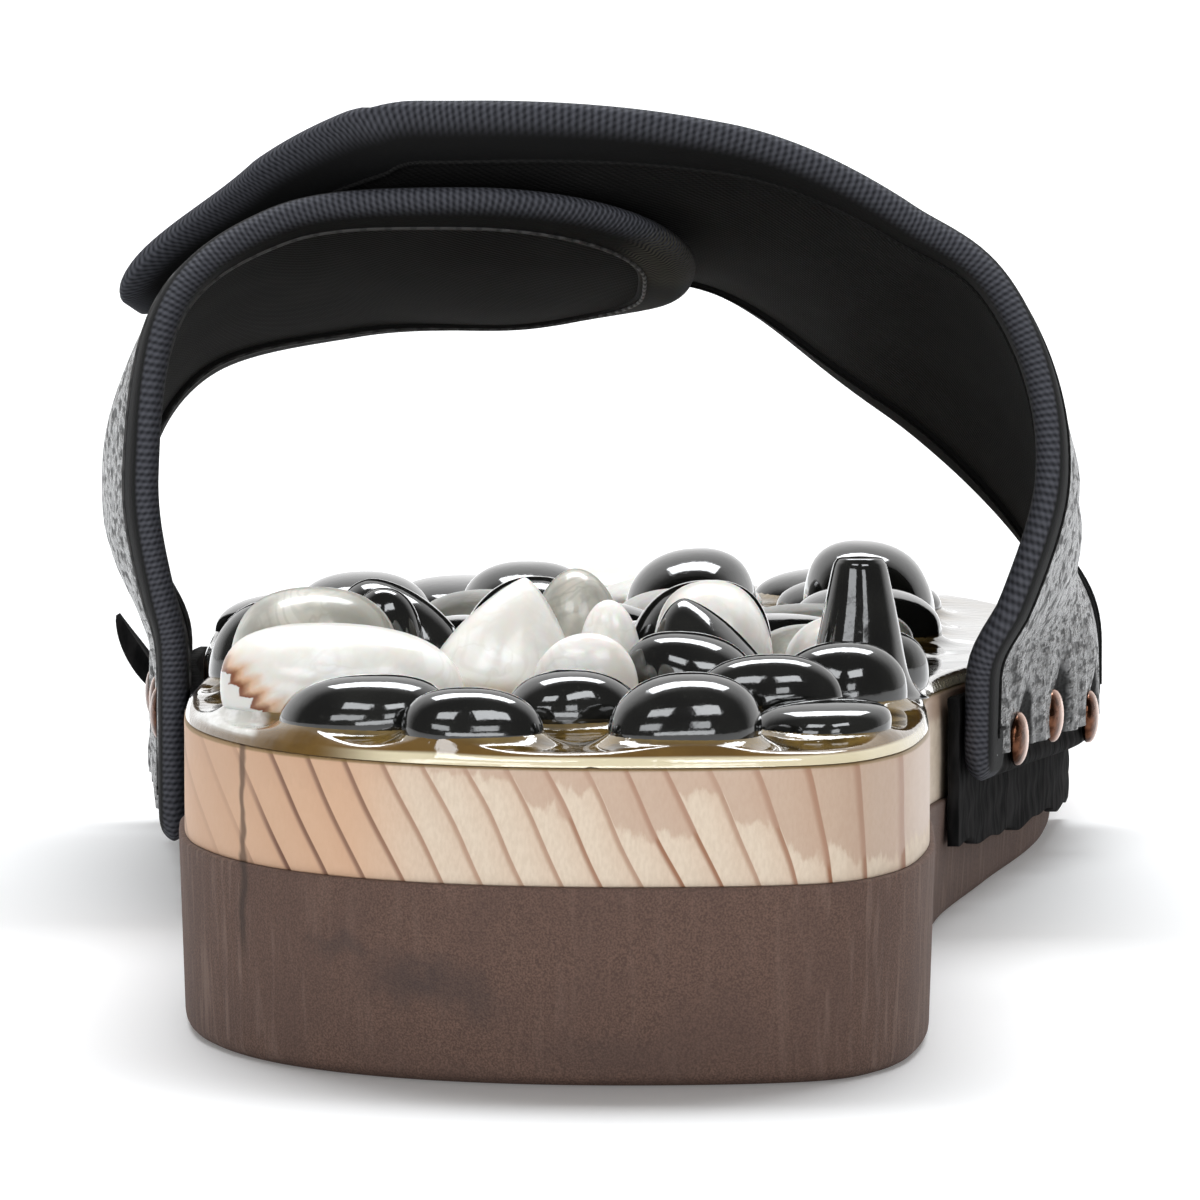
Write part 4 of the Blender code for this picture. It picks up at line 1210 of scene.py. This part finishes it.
def resin_material():
    """Clear amber resin: olive in the pool, with painted highlights where it climbs the pebbles and along
    its thin rim, milky where it ran over the side.
    """
    recipe = Recipe("amber_resin", (0.2, 0.11, 0.023), 0.06, coat_weight=1.0, coat_roughness=0.02)
    rim, climb = recipe.flat()
    x = recipe.axes(recipe.place)[0]
    cloud = recipe.noise(0.3, 3.0)
    recipe.paint(recipe.mix(cloud.ramp(0.36, 0.64), (0.06, 0.036, 0.008), (0.18, 0.11, 0.026)))
    # Painted highlight: lighter amber where the resin climbs the pebbles.
    recipe.cover(climb.ramp(0.4, 1.3, 0.0, 0.5), (0.3, 0.22, 0.1))
    recipe.cover(rim.ramp(2.2, 1.0, 0.0, 0.8), (0.14, 0.075, 0.018))
    # Painted highlight: pale yellow along the rounded rim.
    lit = rim.ramp(0.5, 0.25) * x.ramp(-23.0, -14.0)
    recipe.cover(lit, (0.72, 0.63, 0.43))
    streak = recipe.noise(0.7, 3.0, recipe.stretch(1.0, 0.3, 1.0))
    milk = recipe.mix(streak.ramp(0.4, 0.65), (0.55, 0.53, 0.48), (0.8, 0.79, 0.76))
    side = recipe.place.spot((-34.0, 23.0, 33.0), (7.5, 19.0, 12.0))
    poured = side.ramp(0.1, 0.3) * rim.ramp(0.15, 0.5)
    recipe.cover(poured, milk)
    recipe.bump(recipe.noise(0.5, 2.0), 0.12)
    return recipe.material


def black_stone_material():
    recipe = Recipe("black_pebble", (0.007, 0.007, 0.006), 0.1, coat_weight=1.0, coat_roughness=0.03)
    fleck = recipe.noise(1.8, 4.0)
    cloud = recipe.noise(0.12, 2.0)
    recipe.paint(recipe.mix(cloud.ramp(0.35, 0.7), (0.0045, 0.0045, 0.004), (0.012, 0.012, 0.0105)))
    recipe.cover(fleck.ramp(0.64, 0.74, 0.0, 0.5), (0.03, 0.03, 0.026))
    recipe.bump(recipe.noise(0.6, 3.0), 0.05)
    return recipe.material


def zigzag_edge(recipe):
    """Brown growth line with a toothed outer edge, fading inwards, on the lateral end of a pale pebble."""
    place = recipe.axes(recipe.place)
    x, z = place[0], place[2]
    teeth = recipe.math("PINGPONG", z - x * 0.6, 0.9)
    jag = recipe.noise(0.8, 2.0) * 1.6 - 0.8
    inward = x + z * 1.09 - 8.8 + teeth * 1.5 + jag
    high = z.ramp(41.5, 38.5)
    recipe.cover(inward.ramp(5.5, 1.0, 0.0, 0.75) * high, (0.6, 0.29, 0.1))
    recipe.cover(inward.ramp(2.4, 0.3) * high, (0.2, 0.06, 0.018))
    recipe.cover(inward.ramp(0.15, -0.15), (0.7, 0.69, 0.65))


def pale_stone_material(name, light, dark, warm, zigzag=False):
    """Milky translucent pebble with faint veins, warm where the resin wets its foot."""
    gloss = {"coat_weight": 0.4, "coat_roughness": 0.08}
    recipe = Recipe(name, light, 0.32, subsurface_weight=0.3, subsurface_scale=0.002, **gloss)
    level = recipe.flat()[1]
    vein = recipe.math("ABSOLUTE", recipe.noise(0.16, 4.0) - 0.5)
    cloud = recipe.noise(0.2, 3.0)
    recipe.paint(recipe.mix(cloud.ramp(0.36, 0.66), dark, light))
    recipe.cover(vein.ramp(0.03, 0.0, 0.0, 0.45), dark)
    band = recipe.noise(0.1, 1.0).wave(0.06)
    recipe.cover(band.ramp(0.6, 1.0, 0.0, 0.35), dark)
    recipe.cover(level.ramp(0.3, -0.05, 0.0, 0.75), warm)
    if zigzag:
        zigzag_edge(recipe)
    recipe.bump(recipe.noise(0.5, 3.0), 0.06)
    return recipe.material


FOLD_SHADE = (6.0, 3.0, 6.0)  # reach of the painted shade, dark and dull, in the fold ahead of each nail


def nail_fold_shade(recipe):
    """1 in the fold ahead of each nail, where shade is painted on the leather."""
    masks = []
    for side in (MEDIAL, LATERAL):
        for nail in NAIL_PLACES:
            middle = nail_frame(side, nail)[0] + np.array([0.0, FOLD_PAST, 1.0])
            masks.append(recipe.place.spot(middle, FOLD_SHADE).ramp(0.0, 0.5))
    return recipe.math("MINIMUM", sum(masks), 1.0)


def leather_material():
    """Black leather, finely crumpled and shiny on the crests of the wrinkles, with painted shade in their
    troughs and in the fold ahead of each nail.
    """
    recipe = Recipe("black_leather", (0.012, 0.012, 0.013), 0.4)
    along, across = recipe.flat()
    laid = recipe.node("CombineXYZ", {0: along, 1: across * 0.3})
    wrinkle = recipe.noise(0.95, 2.0, laid)
    crest = wrinkle.ramp(0.36, 0.5)
    cells = {"Vector": recipe.place, "Scale": 1.3}
    grain = recipe.node("TexVoronoi", cells, "Distance", feature="SMOOTH_F1")
    wear = recipe.noise(0.07, 3.0)
    recipe.paint(recipe.mix(wear.ramp(0.4, 0.72), (0.02, 0.02, 0.02), (0.045, 0.045, 0.045)))
    # Painted shade: near black in the wrinkles' troughs.
    recipe.cover(wrinkle.ramp(0.5, 0.36), (0.003, 0.003, 0.003))
    painted_fold_shade = nail_fold_shade(recipe)
    # Painted shade: near-black leather in the fold ahead of each nail.
    recipe.cover(painted_fold_shade, (0.002, 0.002, 0.002))
    polish = grain.ramp(0.1, 0.7, 0.0, 0.15) + crest.ramp(0.0, 1.0, 0.45, 0.18)
    recipe.gloss(recipe.math("MINIMUM", polish + painted_fold_shade * 0.8, 1.0))
    recipe.bump(wrinkle, 1.2)
    recipe.bump(grain, 0.14)
    return recipe.material


def lining_material():
    """Black twill: diagonal ribs of fine yarn."""
    recipe = Recipe("twill_lining", (0.0105, 0.0102, 0.01), 0.9, specular_ior_level=0.2)
    along, across = recipe.flat()
    diagonal = (along + across).wave(0.85)
    yarn = (across - along * 0.4).wave(0.5)
    cloth = diagonal * 0.7 + yarn * 0.3
    cloud = recipe.noise(0.08, 2.0)
    recipe.paint(recipe.mix(cloth, (0.003, 0.003, 0.003), (0.0095, 0.0091, 0.0087)))
    recipe.cover(cloud.ramp(0.4, 0.7, 0.0, 0.4), (0.014, 0.0136, 0.0132))
    recipe.bump(cloth, 0.12)
    return recipe.material


DARN_MIDDLE = (8.0, 150.0, 68.5)  # zigzag stitches round the tongue's tip
DARN_REACH = (10.0, 24.0, 8.0)


def binding_material():
    """Ribbed woven tape, its ribs running over the edge, with painted shade on its flats either side of the
    edge.
    """
    recipe = Recipe("ribbed_tape", (0.032, 0.033, 0.039), 0.75, specular_ior_level=0.15)
    along, across = recipe.flat()
    waver = recipe.noise(1.2, 1.0) * 0.16 - 0.08
    rib = (along + waver).wave(0.62)
    pick = (across + along * 0.8).wave(0.8)
    weave = rib * 0.7 + pick * 0.3
    # Band round the edge where the ribs show and the tape stays lit; outside it the tape gets painted shade.
    ribbed = across.ramp(4.2, 6.6) * across.ramp(9.3, 8.7)
    fuzz = recipe.noise(2.2, 3.0)
    recipe.paint(recipe.mix(weave, (0.014, 0.0145, 0.018), (0.08, 0.082, 0.096)))
    recipe.cover(fuzz.ramp(0.45, 0.75, 0.0, 0.25), (0.05, 0.051, 0.058))
    # Painted shade: near black on the flats either side of the ribbed edge band; the ribs are the tape's
    # own.
    recipe.paint(recipe.mix(ribbed, (0.007, 0.007, 0.0072), recipe.tone))
    zigzag = (along + across.wave(2.4) * 1.2).wave(0.9)
    darned = recipe.place.spot(DARN_MIDDLE, DARN_REACH).ramp(0.0, 0.6)
    darned = darned * zigzag.ramp(0.2, 0.8)
    recipe.cover(darned, (0.085, 0.079, 0.063))
    recipe.bump(weave * ribbed, 0.12)
    recipe.bump(fuzz, 0.05)
    return recipe.material


def thread_material():
    """Dark thread, pinched in at every stitch, with painted shade at each pinch."""
    recipe = Recipe("sewing_thread", (0.05, 0.05, 0.055), 0.6)
    stitch = recipe.flat()[0].wave(2.6)
    # Painted shade: darker where the thread sinks in at each pinch.
    recipe.paint(recipe.mix(stitch.ramp(0.05, 0.3), (0.02, 0.02, 0.02), (0.048, 0.046, 0.045)))
    recipe.bump(stitch, 0.3)
    return recipe.material


def strip_material():
    recipe = Recipe("crinkled_strip", (0.008, 0.008, 0.008), 0.9, specular_ior_level=0.06)
    crinkle = recipe.noise(0.5, 3.0, recipe.stretch(1.0, 1.0, 0.3))
    recipe.paint(recipe.mix(crinkle.ramp(0.35, 0.7), (0.004, 0.004, 0.004), (0.017, 0.016, 0.016)))
    recipe.bump(crinkle, 0.5)
    return recipe.material


def fuzz_material():
    recipe = Recipe("hook_and_loop", (0.012, 0.012, 0.013), 0.95, sheen_weight=0.4)
    loops = recipe.noise(3.0, 4.0)
    recipe.paint(recipe.mix(loops.ramp(0.35, 0.7), (0.006, 0.006, 0.007), (0.025, 0.025, 0.027)))
    recipe.bump(loops, 0.4)
    return recipe.material


def copper_material():
    """Copper with a painted shade on the side towards the heel and a painted highlight on the side towards
    the toe; its mottling is the metal's own.
    """
    recipe = Recipe("copper", (0.36, 0.15, 0.09), 0.2, metallic=1.0)
    cloud = recipe.noise(0.9, 4.0)
    # Dark mottled copper: the mottling is the metal's own, the darkness a painted shade.
    recipe.paint(recipe.mix(cloud.ramp(0.35, 0.7), (0.05, 0.02, 0.011), (0.16, 0.068, 0.038)))
    ahead = recipe.flat()[0]
    # Painted highlight on the side towards the toe.
    recipe.cover(ahead.ramp(-0.6, 0.3), (0.86, 0.55, 0.43))
    recipe.gloss(cloud.ramp(0.3, 0.7, 0.14, 0.26))
    recipe.bump(recipe.noise(2.0, 3.0), 0.05)
    return recipe.material


def make_materials():
    white = ((0.86, 0.85, 0.81), (0.74, 0.71, 0.65), (0.6, 0.4, 0.19))
    return {
        "foam": foam_material(),
        "wood": wood_material(),
        "resin": resin_material(),
        "black": black_stone_material(),
        "white": pale_stone_material("white_pebble", *white),
        "pebble_09_white": pale_stone_material("banded_pebble", *white, zigzag=True),
        "grey": pale_stone_material("grey_pebble", (0.52, 0.5, 0.44), (0.3, 0.29, 0.25), (0.3, 0.22, 0.11)),
        "leather": leather_material(),
        "lining": lining_material(),
        "binding": binding_material(),
        "thread": thread_material(),
        "strip": strip_material(),
        "fuzz": fuzz_material(),
        "copper": copper_material(),
    }


# Stage

FLOOR_SIZE = 14.0
FLOOR_GLOW = 0.145
FAR_GLOW = 0.35
FAR_FLOOR = (0.35, 1.1)  # metres from the shoe
LAMP_COLOUR = (0.95, 0.975, 1.0)
Softbox = namedtuple("Softbox", "name place aim size power on_floor")
SOFTBOXES = (
    Softbox("key_left", (-0.6, -1.3, 1.3), (0.0, -0.1, 0.04), (0.85, 0.5), 7.9, False),
    Softbox("key_right", (0.65, -1.3, 1.25), (0.0, -0.1, 0.04), (0.85, 0.5), 8.9, False),
    Softbox("front_low", (0.1, -1.7, 0.14), (0.0, 0.0, 0.04), (1.5, 0.2), 5.0, False),
    Softbox("window_left", (-0.75, -1.35, 0.45), (0.0, -0.1, 0.04), (0.8, 0.28), 3.0, False),
    Softbox("window_right", (0.42, -1.47, 0.45), (0.0, -0.1, 0.04), (0.36, 0.28), 1.4, False),
    Softbox("back_top", (0.0, 0.7, 1.6), (0.0, 0.0, 0.03), (1.6, 0.6), 34.0, True),
)
BACK_LIGHT = 0.95
FRONT_LIGHT = 0.11
BACK_START = (0.0, 0.55)  # how far towards the back the light changes from one to the other


def add_floor():
    half = FLOOR_SIZE / 2.0
    mesh = bpy.data.meshes.new("floor")
    corners = [(-half, -half, 0.0), (half, -half, 0.0), (half, half, 0.0), (-half, half, 0.0)]
    mesh.from_pydata(corners, [], [(0, 1, 2, 3)])
    recipe = Recipe("white_sweep", (0.9, 0.9, 0.9), 0.7)
    recipe.feed(recipe.sockets["Emission Color"], (1.0, 1.0, 1.0))
    x, y = recipe.axes(recipe.place)[:2]
    near, far = (edge / MM for edge in FAR_FLOOR)
    away = recipe.math("SQRT", x * x + y * y)
    glow = away.ramp(near, far, FLOOR_GLOW, FAR_GLOW)
    recipe.feed(recipe.sockets["Emission Strength"], glow)
    recipe.paint(recipe.mix(recipe.noise(0.01, 2.0), (0.895, 0.895, 0.895), (0.905, 0.905, 0.905)))
    mesh.materials.append(recipe.material)
    floor = bpy.data.objects.new("floor", mesh)
    bpy.context.collection.objects.link(floor)
    return floor


def off_floor(floor):
    """Collection that keeps the light of some lamps off the floor, as flags in a studio do."""
    flags = bpy.data.collections.new("flagged")
    flags.objects.link(floor)
    flags.collection_objects[0].light_linking.link_state = "EXCLUDE"
    return flags


def add_softbox(box, flags):
    data = bpy.data.lights.new(box.name, "AREA")
    data.shape = "RECTANGLE"
    data.size, data.size_y = box.size
    data.energy = box.power
    data.color = LAMP_COLOUR
    light = bpy.data.objects.new(box.name, data)
    light.location = box.place
    light.rotation_euler = (Vector(box.aim) - Vector(box.place)).to_track_quat("-Z", "Y").to_euler()
    bpy.context.collection.objects.link(light)
    if not box.on_floor:
        light.light_linking.receiver_collection = flags


def add_world():
    """White studio: bright behind the shoe, dim on the camera's side."""
    world = bpy.data.worlds.new("studio")
    world.use_nodes = True
    nodes = Nodes(world.node_tree)
    sockets = world.node_tree.nodes["Background"].inputs
    behind = nodes.axes(nodes.node("TexCoord", {}, "Generated"))[1]
    nodes.feed(sockets["Color"], (1.0, 1.0, 1.0))
    nodes.feed(sockets["Strength"], behind.ramp(*BACK_START, FRONT_LIGHT, BACK_LIGHT))
    bpy.context.scene.world = world
    bpy.context.scene.view_settings.view_transform = "Standard"


def add_camera():
    """Camera at the photo's place, turned towards the middle of the window round the shoe."""
    data = bpy.data.cameras.new("camera")
    data.sensor_width = SENSOR
    ray = Vector((WINDOW_RIGHT / FOCAL_PIXELS, 1.0, -WINDOW_DOWN / FOCAL_PIXELS))
    data.lens = FOCAL_PIXELS * ray.length * SENSOR / WINDOW_SIZE
    data.clip_end = 50.0
    camera = bpy.data.objects.new("camera", data)
    camera.location = ROOT + Vector((CAMERA_X, -CAMERA_BACK, CAMERA_HEIGHT)) * MM
    camera.rotation_euler = ray.to_track_quat("-Z", "Y").to_euler()
    bpy.context.collection.objects.link(camera)
    bpy.context.scene.camera = camera


def main():
    add_camera()
    add_world()
    flags = off_floor(add_floor())
    for box in SOFTBOXES:
        add_softbox(box, flags)
    materials = make_materials()
    stones = read_stones()
    add_foam(materials)
    add_board(materials)
    add_resin(stones, materials)
    for stone in stones:
        add_stone(stone, materials)
    add_peg(materials)
    add_strap(materials)
    add_loose_corner(materials)
    for side in (LATERAL, MEDIAL):
        add_strip(side, materials)
        for number, nail in enumerate(NAIL_PLACES, start=1):
            add_nail(side, number, nail, materials)


main()
